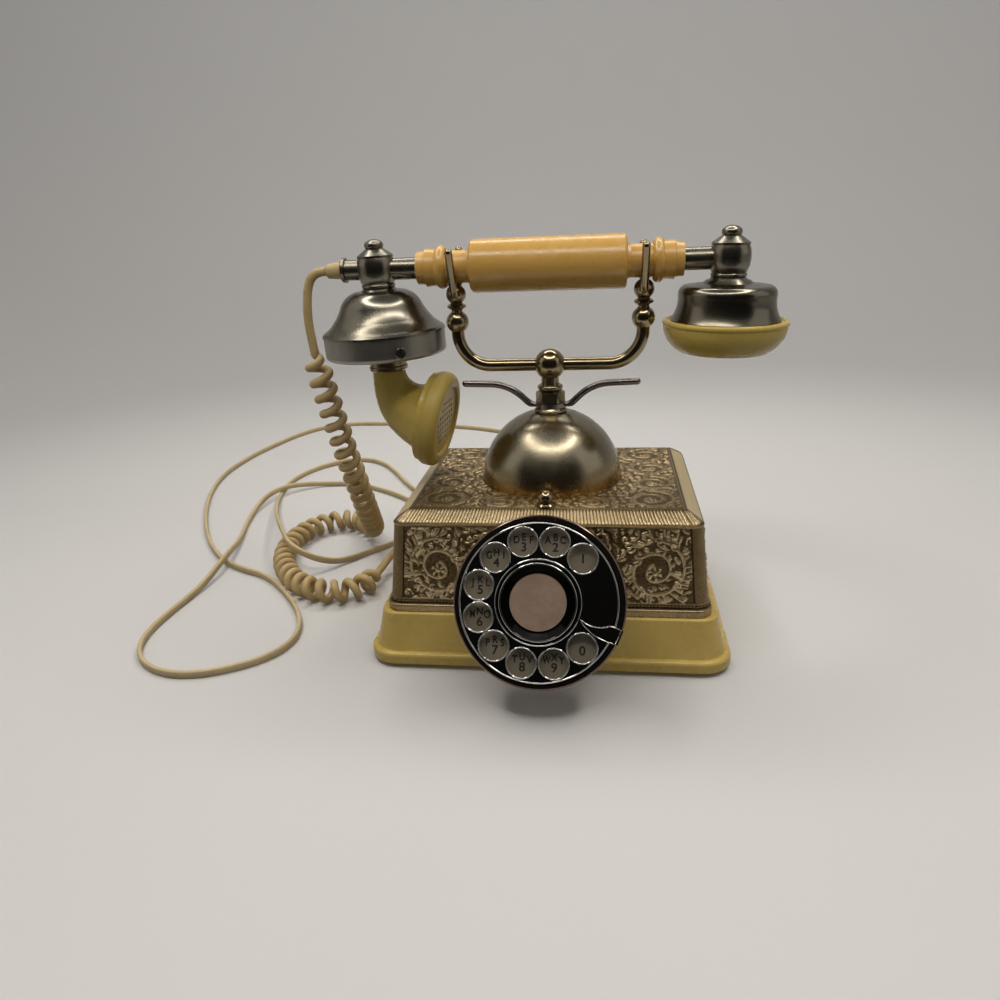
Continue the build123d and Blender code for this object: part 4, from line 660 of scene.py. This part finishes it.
# Dial details, in the dial's own plane, in millimetres from its middle and its finger wheel's face
TILT = math.radians(26)
DIAL = Vector((0, -85.5, 58)) * MM
DIAL_OUT = Vector((0, -math.cos(TILT), math.sin(TILT)))
DIAL_UP = Vector((0, math.sin(TILT), math.cos(TILT)))
HOLE_CIRCLE, FIRST_HOLE, HOLE_STEP = 28.9, 45, 30
HOLES = [
    (digit, *(HOLE_CIRCLE * unit(math.radians(FIRST_HOLE + HOLE_STEP * k))))
    for k, digit in enumerate("1234567890")
]
LETTERS = dict(zip("23456789", "ABC DEF GHI JKL MNO PRS TUV WXY".split()))
PLATE_FACE, PRINT_DEPTH, PRINT_BOLD = -4.58, 0.02, 0.13
DIGIT_SIZE, DIGIT_DROP, PLAIN_DROPS = 6.0, 2.5, {"1": 0.2, "0": 1.8}
LETTER_SIZE, LETTER_STEP, LETTER_RISES = 4.9, 3.5, (1.0, 2.3, 1.0)
NARROW, NARROWER = 0.86, 0.68

# Rims of a finger hole and round the dial's middle, as bright wires for painted highlights: height, radius,
# wire radius and segments
HOLE_RIM = (0.0, 7.05, 0.36, 48)
ROUND_RIMS = {
    "wheel_rim": (0.0, 36.9, 0.4, 128),
    "retainer_rim": (0.9, 19.9, 0.42, 96),
    "retainer_lip": (2.2, 17.9, 0.36, 96),
}
WIRE_SECTION = 10


def dial_matrix(x, y, height, spin=0.0):
    """Placing matrix of something on the dial."""
    place = DIAL + Vector((x * MM, 0, 0)) + DIAL_UP * (y * MM) + DIAL_OUT * (height * MM)
    return placing(place, Vector((1, 0, 0)), DIAL_UP, DIAL_OUT) @ Matrix.Rotation(spin, 4, "Z")


def loop_tube(name, path, thick):
    """Closed round wire along a flat loop of points, in millimetres."""
    path = np.asarray(path, float)
    ahead = np.roll(path, -1, 0) - np.roll(path, 1, 0)
    out = np.stack([ahead[:, 1], -ahead[:, 0]], 1) / np.hypot(*ahead.T)[:, None]
    count = WIRE_SECTION
    section = ring_points(thick, thick, count)
    flat = path[:, None, :] + section[None, :, :1] * out[:, None, :]
    up = np.broadcast_to(section[None, :, 1:], (len(path), count, 1))
    verts = np.concatenate([flat, up], -1).reshape(-1, 3) * MM
    faces = np.array(grid_faces(len(path) + 1, count, closed=True)) % len(verts)
    return new_object(name, verts, faces.tolist())


def ring_on_dial(name, x, y, height, radius, thick, segments):
    around = np.linspace(0, 2 * math.pi, segments, endpoint=False)
    piece = loop_tube(name, radius * np.stack([np.cos(around), np.sin(around)], 1), thick)
    piece.matrix_world = dial_matrix(x, y, height)
    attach(piece, "dial")
    return piece


def make_rims():
    """Rolled edges of the finger holes, the wheel and the card retainer, as bright chrome wires: painted
    highlights on the dark chrome.
    """
    rims = []
    for digit, x, y in HOLES:
        rims.append(ring_on_dial(f"hole_rim_{digit}", x, y, *HOLE_RIM))
    for name, sizes in ROUND_RIMS.items():
        rims.append(ring_on_dial(name, 0, 0, *sizes))
    return rims


# Finger stop: points of its upper bow, root and lower bow, outward from the dial's middle
STOP_TURN, STOP_FACE, STOP_WIRE, BOW_POINTS = math.radians(-22), 2.4, 0.2, 13
STOP_UPPER = np.array([(21.2, 0.5), (28.0, -0.1), (34.4, 3.1)])
STOP_ROOT = np.array([(36.0, 3.4), (39.6, 3.4), (39.6, -3.6)])
STOP_LOWER = np.array([(38.0, -3.6), (29.6, -3.5), (21.0, -0.1)])


def bow(start, via, end):
    """Points of a bow from start to end that passes through via halfway."""
    s = np.linspace(0, 1, BOW_POINTS)[:, None]
    return (1 - s) ** 2 * start + 2 * s * (1 - s) * (2 * via - (start + end) / 2) + s ** 2 * end


def make_stop_edge():
    """Edge round the finger stop's blade as a bright chrome wire: a painted highlight on the dark chrome."""
    path = np.concatenate([bow(*STOP_UPPER), STOP_ROOT, bow(*STOP_LOWER)[:-1]])
    piece = loop_tube("stop_edge", path, STOP_WIRE)
    piece.matrix_world = dial_matrix(0, 0, STOP_FACE, STOP_TURN)
    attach(piece, "base")
    return piece


def print_on_dial(name, letter, x, y, size, narrow=1.0):
    """One printed digit or letter on the number plate."""
    curve = bpy.data.curves.new(name, "FONT")
    curve.body = letter
    curve.size = size * MM
    curve.align_x = curve.align_y = "CENTER"
    curve.extrude = PRINT_DEPTH * MM
    curve.offset = PRINT_BOLD * MM
    piece = add_object(name, mesh_of(name, curve))
    piece.matrix_world = dial_matrix(x, y, PLATE_FACE) @ Matrix.Diagonal((narrow, 1, 1, 1))
    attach(piece, "base")
    return piece


def make_prints():
    """Each digit, with its letters in an arch above it."""
    prints = []
    for digit, x, y in HOLES:
        drop = PLAIN_DROPS.get(digit, DIGIT_DROP)
        prints.append(print_on_dial(f"digit_{digit}", digit, x, y - drop, DIGIT_SIZE))
        for k, letter in enumerate(LETTERS.get(digit, "")):
            spot = (x + LETTER_STEP * (k - 1), y + LETTER_RISES[k])
            narrow = NARROWER if letter in "MW" else NARROW
            prints.append(print_on_dial(f"letter_{letter}", letter, *spot, LETTER_SIZE, narrow))
    return prints


dial_rims = make_rims()
stop_edge = make_stop_edge()
prints = make_prints()


# Handle seam, in millimetres
HANDSET_Z, BARREL_SKIN = 201.5, 13.88
SEAM_TURN, SEAM_REACH, SEAM_STEPS = math.radians(-118), 40.2, 60
SEAM_HALF_WIDE, SEAM_HALF_HIGH = 0.55 * MM, 0.14 * MM


def make_seam():
    """Parting line along the underside of the barrel."""
    y, z = POST.y + BARREL_SKIN * math.cos(SEAM_TURN), HANDSET_Z + BARREL_SKIN * math.sin(SEAM_TURN)
    x = np.linspace(-SEAM_REACH, SEAM_REACH, SEAM_STEPS)
    centre = np.stack([x, np.full(SEAM_STEPS, y), np.full(SEAM_STEPS, z)], 1) * MM
    side = np.tile([0, -math.sin(SEAM_TURN), math.cos(SEAM_TURN)], (SEAM_STEPS, 1))
    up = np.tile([0, math.cos(SEAM_TURN), math.sin(SEAM_TURN)], (SEAM_STEPS, 1))
    piece = tube("handle_seam", centre, ring_points(SEAM_HALF_WIDE, SEAM_HALF_HIGH, 8), side, up)
    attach(piece, "handset")
    return piece


handle_seam = make_seam()


# Painted shade in the speaking holes of the transmitter cap: black linings, in millimetres
CAP_FACE = Vector((-60.605, 20.998, 117.219))
CAP_TILT, CAP_SWIVEL = math.radians(12.5), math.radians(5.5)
HOLE_PITCH, HOLE_R, HOLE_FIELD, HOLE_SIDES = 4.4, 0.92, 14.6, 12
HOLE_LIP, HOLE_FLOOR, HOLE_COLUMNS, HOLE_ROWS = 0.03, 1.9, range(-5, 5), range(-4, 5)


def make_cap_hole_shade():
    """Black linings on the walls and floors just inside the cap's own holes: painted shade of the holes'
    depth.
    """
    side = Vector((math.sin(CAP_SWIVEL), math.cos(CAP_SWIVEL), 0))
    out = Vector((math.cos(CAP_SWIVEL), -math.sin(CAP_SWIVEL), 0)) * math.cos(CAP_TILT)
    out.z = -math.sin(CAP_TILT)
    up = out.cross(side)
    row_step = HOLE_PITCH * math.sin(math.pi / 3)
    grid = [(HOLE_PITCH * (i + 0.5 * (j % 2)), row_step * j) for i in HOLE_COLUMNS for j in HOLE_ROWS]
    verts, faces = [], []
    for a, b in grid:
        if math.hypot(a, b) < HOLE_FIELD:
            start = len(verts)
            for depth in (HOLE_LIP, HOLE_FLOOR):
                for x, y in ring_points(HOLE_R, HOLE_R, HOLE_SIDES):
                    verts.append((CAP_FACE + side * (a + x) + up * (b + y) - out * depth) * MM)
            faces += grid_faces(2, HOLE_SIDES, closed=True, start=start)
            faces.append(list(range(start + HOLE_SIDES, start + 2 * HOLE_SIDES)))
    piece = new_object("cap_hole_shade", verts, faces)
    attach(piece, "handset")
    return piece


cap_hole_shade = make_cap_hole_shade()


# Materials: noise scales are per metre, and bump distances are in metres
class Shader:
    """A principled material fed by procedural textures."""

    def __init__(self, name):
        self.material = bpy.data.materials.new(name)
        self.material.use_nodes = True
        self.tree = self.material.node_tree
        self.tree.nodes.clear()
        self.bsdf = self.add("ShaderNodeBsdfPrincipled")
        self.add("ShaderNodeOutputMaterial", Surface=self.bsdf.outputs[0])
        self.place = self.add("ShaderNodeTexCoord").outputs["Object"]

    def put(self, socket, value):
        """Link a socket to another node's output, or give it a plain value."""
        if isinstance(value, bpy.types.NodeSocket):
            self.tree.links.new(value, socket)
        else:
            socket.default_value = (*value, 1) if socket.type == "RGBA" else value

    def add(self, kind, **values):
        node = self.tree.nodes.new(kind)
        for name, value in values.items():
            self.put(node.inputs[name], value)
        return node

    def set(self, **values):
        for name, value in values.items():
            self.put(self.bsdf.inputs[name.replace("_", " ")], value)

    def noise(self, scale, detail, rough=0.55, stretch=None):
        where = self.place
        if stretch:
            where = self.add("ShaderNodeMapping", Vector=where, Scale=stretch).outputs[0]
        node = self.add("ShaderNodeTexNoise", Vector=where, Scale=scale, Detail=detail, Roughness=rough)
        return node.outputs["Fac"]

    def height(self):
        return self.add("ShaderNodeSeparateXYZ", Vector=self.place).outputs[2]

    def attribute(self, name):
        node = self.add("ShaderNodeAttribute")
        node.attribute_name = name
        return node.outputs["Fac"]

    def ramp(self, value, *stops):
        """Grey or coloured ramp through stops of (place, level or colour)."""
        node = self.add("ShaderNodeValToRGB", Fac=value)
        bar = node.color_ramp.elements
        while len(bar) < len(stops):
            bar.new(0.5)
        for element, (place, colour) in zip(bar, stops):
            element.position = place
            element.color = (*colour, 1) if isinstance(colour, tuple) else (colour, colour, colour, 1)
        return node.outputs[0]

    def mix(self, factor, a, b):
        node = self.add("ShaderNodeMix")
        node.data_type = "RGBA"
        for index, value in ((0, factor), (6, a), (7, b)):
            self.put(node.inputs[index], value)
        return node.outputs[2]

    def math(self, kind, a, b):
        node = self.add("ShaderNodeMath")
        node.operation = kind
        self.put(node.inputs[0], a)
        self.put(node.inputs[1], b)
        return node.outputs[0]

    def bump(self, height, distance, strength):
        node = self.add("ShaderNodeBump", Height=height, Distance=distance, Strength=strength)
        self.set(Normal=node.outputs[0])
        return self


def plastic(name, light, dark, grime, rough, specks, sheen):
    """Aged moulding: slow yellowing, faint grime, dark specks and a satin skin."""
    s = Shader(name)
    fade = s.ramp(s.noise(16, 4), (0.3, 0.0), (0.72, 1.0))
    film = s.ramp(s.noise(60, 6, 0.7), (0.52, 0.0), (0.8, 1.0))
    dots = s.ramp(s.noise(620, 2), (0.72, 0.0), (0.78, 1.0))
    colour = s.mix(s.math("MULTIPLY", film, 0.3), s.mix(fade, dark, light), grime)
    colour = s.mix(s.math("MULTIPLY", dots, specks), colour, grime)
    skin = s.ramp(s.noise(90, 3), (0.3, rough - 0.06), (0.7, rough + 0.12))
    s.set(Base_Color=colour, Roughness=skin, IOR=1.49)
    s.set(Subsurface_Weight=0.06, Subsurface_Scale=0.004, Specular_IOR_Level=sheen)
    return s.bump(s.noise(900, 2), 0.0002, 0.12).material


def metal(name, bright, worn, rough, wear, scratches, specks, foot=None):
    """Plated metal: tarnish, fine pits and rubbing marks; foot warms the lowest part."""
    s = Shader(name)
    tarnish = s.ramp(s.noise(34, 6, 0.65), (0.42, 0.0), (0.75, 1.0))
    colour = s.mix(s.math("MULTIPLY", tarnish, wear), bright, worn)
    if foot:
        low, high, warm = foot
        colour = s.mix(s.ramp(s.height(), (low, 0.85), (high, 0.0)), colour, warm)
    pits = s.ramp(s.noise(850, 3, 0.7), (0.62, 0.0), (0.74, 1.0))
    colour = s.mix(s.math("MULTIPLY", pits, specks), colour, tuple(0.35 * c for c in worn))
    rub = s.noise(420, 3, 0.6, (1, 1, 0.12))
    dull = s.ramp(tarnish, (0.0, rough), (1.0, rough + 0.14))
    s.set(Base_Color=colour, Metallic=1.0, Roughness=s.math("ADD", dull, s.math("MULTIPLY", rub, 0.06)))
    return s.bump(rub, 0.0002, scratches).material


def gilt():
    """Cast gilt relief: brown patina in the ground, rubbed silvery-gold tops."""
    s = Shader("gilt_relief")
    high = s.attribute("relief")
    blotch = s.noise(48, 5, 0.65)
    level = s.math("ADD", high, s.math("MULTIPLY", s.math("SUBTRACT", blotch, 0.5), 0.2))
    colour = s.ramp(level, (0.0, (0.022, 0.015, 0.006)), (0.14, (0.11, 0.075, 0.032)),
                    (0.35, (0.245, 0.175, 0.085)), (0.6, (0.60, 0.475, 0.29)), (0.78, (0.62, 0.49, 0.30)),
                    (0.95, (0.62, 0.49, 0.27)))
    s.set(Base_Color=colour, Metallic=s.ramp(level, (0.0, 0.7), (0.28, 0.95), (0.78, 0.95), (0.95, 0.3)))
    s.set(Roughness=s.ramp(level, (0.0, 0.6), (0.35, 0.38), (0.7, 0.22), (0.95, 0.45)))
    return s.bump(s.noise(1100, 3, 0.6), 0.0003, 0.35).material


def chrome(name, tint, rough):
    """Polished plating with a little dust."""
    s = Shader(name)
    dust = s.ramp(s.noise(520, 4, 0.7), (0.6, 0.0), (0.76, 1.0))
    colour = s.mix(s.math("MULTIPLY", dust, 0.25), tint, tuple(0.6 * c for c in tint))
    s.set(Base_Color=colour, Metallic=1.0, Roughness=s.math("ADD", s.math("MULTIPLY", dust, 0.2), rough))
    return s.bump(s.noise(260, 2), 0.0002, 0.05).material


def cord_cover(name, light, dark):
    """Soft cord cover with grime in patches."""
    s = Shader(name)
    colour = s.mix(s.ramp(s.noise(55, 5, 0.65), (0.35, 0.0), (0.7, 1.0)), light, dark)
    grime = s.ramp(s.noise(260, 6, 0.75), (0.6, 0.0), (0.75, 1.0))
    colour = s.mix(s.math("MULTIPLY", grime, 0.6), colour, (0.10, 0.07, 0.035))
    s.set(Base_Color=colour, Roughness=0.5, IOR=1.46)
    return s.bump(s.noise(700, 3), 0.0003, 0.2).material


def card():
    """Creased card behind a clear cover."""
    s = Shader("card_stock")
    wrinkle = s.noise(120, 7, 0.7, (1, 2.2, 1))
    colour = s.mix(s.ramp(wrinkle, (0.4, 0.0), (0.64, 1.0)), (0.31, 0.22, 0.162), (0.25, 0.168, 0.12))
    s.set(Base_Color=colour, Roughness=0.34, Coat_Weight=0.6, Coat_Roughness=0.06)
    return s.bump(wrinkle, 0.0003, 0.25).material


def printed_plate():
    """Yellowed plate that carries the print."""
    s = Shader("number_plate")
    fade = s.ramp(s.noise(80, 4), (0.35, 0.0), (0.7, 1.0))
    s.set(Base_Color=s.mix(fade, (0.235, 0.198, 0.138), (0.19, 0.158, 0.108)), Roughness=0.42)
    return s.bump(s.noise(600, 2), 0.0002, 0.1).material


PLAIN_GRAIN = 500


def plain(name, colour, rough):
    """Even colour with a faint grain, for what shows little."""
    s = Shader(name)
    shade = s.mix(s.noise(PLAIN_GRAIN / 6, 4), tuple(0.8 * c for c in colour), colour)
    s.set(Base_Color=shade, Roughness=rough)
    return s.bump(s.noise(PLAIN_GRAIN, 3), 0.0002, 0.2).material


# Plastics: light and dark colour and grime, then roughness, specks and sheen
ivory = plastic("ivory", (0.58, 0.415, 0.108), (0.50, 0.35, 0.08), (0.20, 0.135, 0.04), 0.26, 0.5, 0.5)
# horn, earpiece cap and speaking cap: darker, more saturated copies of the ivory with less sheen; the darker
# colour is painted shade, the speaking cap darkest
shaded_cap_ivory = plastic("cap_ivory", (0.54, 0.395, 0.088), (0.48, 0.34, 0.07), (0.19, 0.13, 0.035), 0.24, 0.35, 0.28)
shaded_speaking_cap = plastic("speaking_cap", (0.47, 0.345, 0.09), (0.41, 0.295, 0.072), (0.17, 0.118, 0.035),
                  0.36, 0.35, 0.22)
tan = plastic("handle_tan", (0.62, 0.36, 0.082), (0.57, 0.32, 0.068), (0.36, 0.19, 0.045), 0.27, 0.3, 0.7)

# Metals: bright and worn colour, then roughness, wear, scratches and specks
pewter = metal("pewter", (0.222, 0.204, 0.162), (0.125, 0.105, 0.07), 0.2, 0.55, 0.1, 0.4)
# earpiece cup: a darker copy of the pewter, the darkness is painted shade of its dark reflection
shaded_cup_pewter = metal("shaded_cup_pewter", (0.18, 0.16, 0.122), (0.105, 0.085, 0.054), 0.18, 0.55, 0.1, 0.4)
band_grey = metal("band_grey", (0.29, 0.275, 0.24), (0.17, 0.155, 0.12), 0.32, 0.6, 0.12, 0.4)
dome_metal = metal("dome_metal", (0.3, 0.264, 0.186), (0.21, 0.17, 0.108), 0.2, 0.5, 0.12, 0.3,
                   foot=(0.086, 0.098, (0.44, 0.29, 0.11)))
nickel = metal("warm_nickel", (0.295, 0.238, 0.146), (0.185, 0.138, 0.074), 0.13, 0.45, 0.08, 0.3)
steel = metal("dark_steel", (0.21, 0.19, 0.175), (0.12, 0.10, 0.088), 0.2, 0.5, 0.2, 0.3)
inner_steel = metal("plain_steel", (0.55, 0.55, 0.55), (0.42, 0.41, 0.39), 0.32, 0.4, 0.2, 0.2)
brass = metal("plain_brass", (0.68, 0.52, 0.24), (0.48, 0.35, 0.15), 0.25, 0.5, 0.15, 0.2)

# Chrome and plain stuff: colour, then roughness. Cord covers: light and dark colour
# bright chrome for the dial's rim wires and the stop's edge: painted highlights
dial_chrome = chrome("dial_chrome", (0.74, 0.73, 0.70), 0.07)
dark_chrome = chrome("dark_chrome", (0.12, 0.117, 0.112), 0.05)
black_chrome = chrome("black_chrome", (0.055, 0.054, 0.052), 0.08)
bronze_rim = chrome("bronze_rim", (0.17, 0.125, 0.095), 0.16)
cover = cord_cover("cord_cover", (0.54, 0.395, 0.185), (0.43, 0.302, 0.128))
line_cover = cord_cover("line_cover", (0.60, 0.47, 0.265), (0.50, 0.38, 0.20))
ink = plain("dial_ink", (0.015, 0.014, 0.012), 0.45)
rubber = plain("black_rubber", (0.03, 0.03, 0.03), 0.7)
winding = plain("coil_wrap", (0.26, 0.10, 0.045), 0.4)
moulding = plain("black_moulding", (0.035, 0.035, 0.035), 0.4)
clear = plain("plug_plastic", (0.55, 0.54, 0.50), 0.18)

looks = {
    ivory: ["base_skirt"],
    shaded_cap_ivory: ["horn", "earpiece_cap"],
    shaded_speaking_cap: ["transmitter_cap"],
    tan: ["handle"],
    pewter: ["knuckles", "mouthpiece_dome", "stem_tubes", "end_finials", "cord_ferrule"],
    shaded_cup_pewter: ["earpiece_cup"],
    band_grey: ["mouthpiece_band"],
    dome_metal: ["dome"],
    nickel: ["dome_collar", "guide_nut", "cradle_plunger", "cradle_ball", "cradle_bar", "forks", "arm_ends",
             "horn_collar", "front_finial"],
    steel: ["lifting_wings", "band_screw", "plate_screws", "terminal_screws"],
    dark_chrome: ["dial_neck", "finger_wheel", "finger_stop"],
    black_chrome: ["card_retainer"],
    bronze_rim: ["dial_can"],
    printed_plate(): ["number_plate"],
    card(): ["centre_card"],
    cover: ["cord_boot", "cord_grommets"],
    rubber: ["rubber_feet"],
    inner_steel: ["bottom_plate", "dial_frame", "hook_bracket", "hook_spring", "mainspring", "ringer_frame",
                  "clapper"],
    brass: ["dial_shaft", "main_gear", "governor", "pulse_contacts", "hook_contacts", "gongs"],
    winding: ["ringer_coils"],
    moulding: ["network_block", "transmitter_capsule", "receiver_capsule"],
}
for look, names in looks.items():
    for name in names:
        dress(nodes[name], look)
dress(housing, gilt())
dressed = [
    (handset_cord, cover, "cord_cover"),
    (line_cord, line_cover, "cord_cover"),
    (plug_body, clear, "clear_plastic"),
    (plug_contacts, brass, "inner_brass"),
    (handle_seam, tan, "handle_plastic"),
    # black moulding on the linings of the cap's holes is painted shade
    (cap_hole_shade, moulding, "inner_plastic"),
]
# the bright chrome wires on the dial's edges are painted highlights
dressed += [(piece, dial_chrome, "dial_chrome") for piece in (*dial_rims, stop_edge)]
dressed += [(piece, ink, "dial_print") for piece in prints]
for piece, look, slot in dressed:
    dress(piece, look)


# Stage: pale floor that sweeps up all round, a ring light overhead and a dark card in front
DISC_R, FLAT_R, SWEEP_R, WALL_TOP, FLOOR_SIDES, SWEEP_STEPS = 0.3, 0.85, 0.8, 1.8, 96, 25
CARD_PROFILE, CARD_HALF = [(-0.30, 0.004), (-0.72, 0.03), (-0.62, 0.75)], 1.0
RING_PROFILE, RING_Y, RING_SIDES, RING_GLOW = [(0.36, 0.78), (0.46, 0.78)], 0.02, 72, 10.5
WORLD_COLOUR, WORLD_GLOW = (0.86, 0.85, 0.83, 1), 0.19


def turned(profile, sides, y=0.0):
    """Points and faces of a profile of (radius, height) turned about an upright axis."""
    around = np.linspace(0, 2 * math.pi, sides, endpoint=False)
    verts = [(r * math.cos(a), y + r * math.sin(a), z) for r, z in profile for a in around]
    return verts, grid_faces(len(profile), sides, closed=True)


def make_floor():
    """Floor that curves up into a wall all round."""
    bend = np.linspace(0, math.pi / 2, SWEEP_STEPS)
    profile = [(DISC_R, 0.0)]
    profile += [(FLAT_R + SWEEP_R * math.sin(a), SWEEP_R * (1 - math.cos(a))) for a in bend]
    profile.append((FLAT_R + SWEEP_R, WALL_TOP))
    verts, faces = turned(profile, FLOOR_SIDES)
    faces.append(list(range(FLOOR_SIDES))[::-1])
    floor = new_object("floor", verts, faces)
    s = Shader("floor")
    s.set(Base_Color=s.mix(s.noise(6, 3), (0.60, 0.588, 0.575), (0.62, 0.608, 0.595)), Roughness=0.6)
    s.bump(s.noise(300, 2), 0.0002, 0.03)
    dress(floor, s.material)
    floor.visible_diffuse = False
    return floor


def make_card():
    """Dark card that the metal shows as its dark side."""
    corners = [(x, y, z) for y, z in CARD_PROFILE for x in (-CARD_HALF, CARD_HALF)]
    flag = new_object("front_card", corners, [(0, 1, 3, 2), (2, 3, 5, 4)], smooth=False)
    s = Shader("front_card")
    s.set(Base_Color=(0.012, 0.012, 0.012), Roughness=0.9)
    dress(flag, s.material)
    flag.visible_camera = flag.visible_diffuse = flag.visible_shadow = False
    return flag


def make_ring_light():
    """Glowing ring, unseen by the camera."""
    lamp = new_object("ring_light", *turned(RING_PROFILE, RING_SIDES, RING_Y), smooth=False)
    glow = Shader("ring_glow")
    glow.set(Base_Color=(0, 0, 0), Emission_Color=(1.0, 0.965, 0.91), Emission_Strength=RING_GLOW)
    dress(lamp, glow.material)
    lamp.visible_camera = False
    return lamp


def soft_light(name, place, size, power, aim=(0, 0, 0.1)):
    data = bpy.data.lights.new(name, "AREA")
    data.size = size
    data.energy = power
    data.color = (1.0, 0.975, 0.94)
    light = add_object(name, data)
    light.location = place
    light.rotation_euler = (Vector(aim) - Vector(place)).to_track_quat("-Z", "Y").to_euler()


def make_world():
    world = bpy.data.worlds.new("world")
    world.use_nodes = True
    background = world.node_tree.nodes["Background"]
    background.inputs[0].default_value = WORLD_COLOUR
    background.inputs[1].default_value = WORLD_GLOW
    scene.world = world


make_floor()
make_card()
make_ring_light()
soft_light("left_soft", (-1.1, -0.15, 0.7), 0.9, 1.2)
soft_light("right_soft", (1.1, -0.15, 0.7), 0.9, 1.2)
soft_light("back_wash", (0.0, 0.25, 1.3), 0.7, 9.0, aim=(0.0, 1.65, 1.2))
make_world()
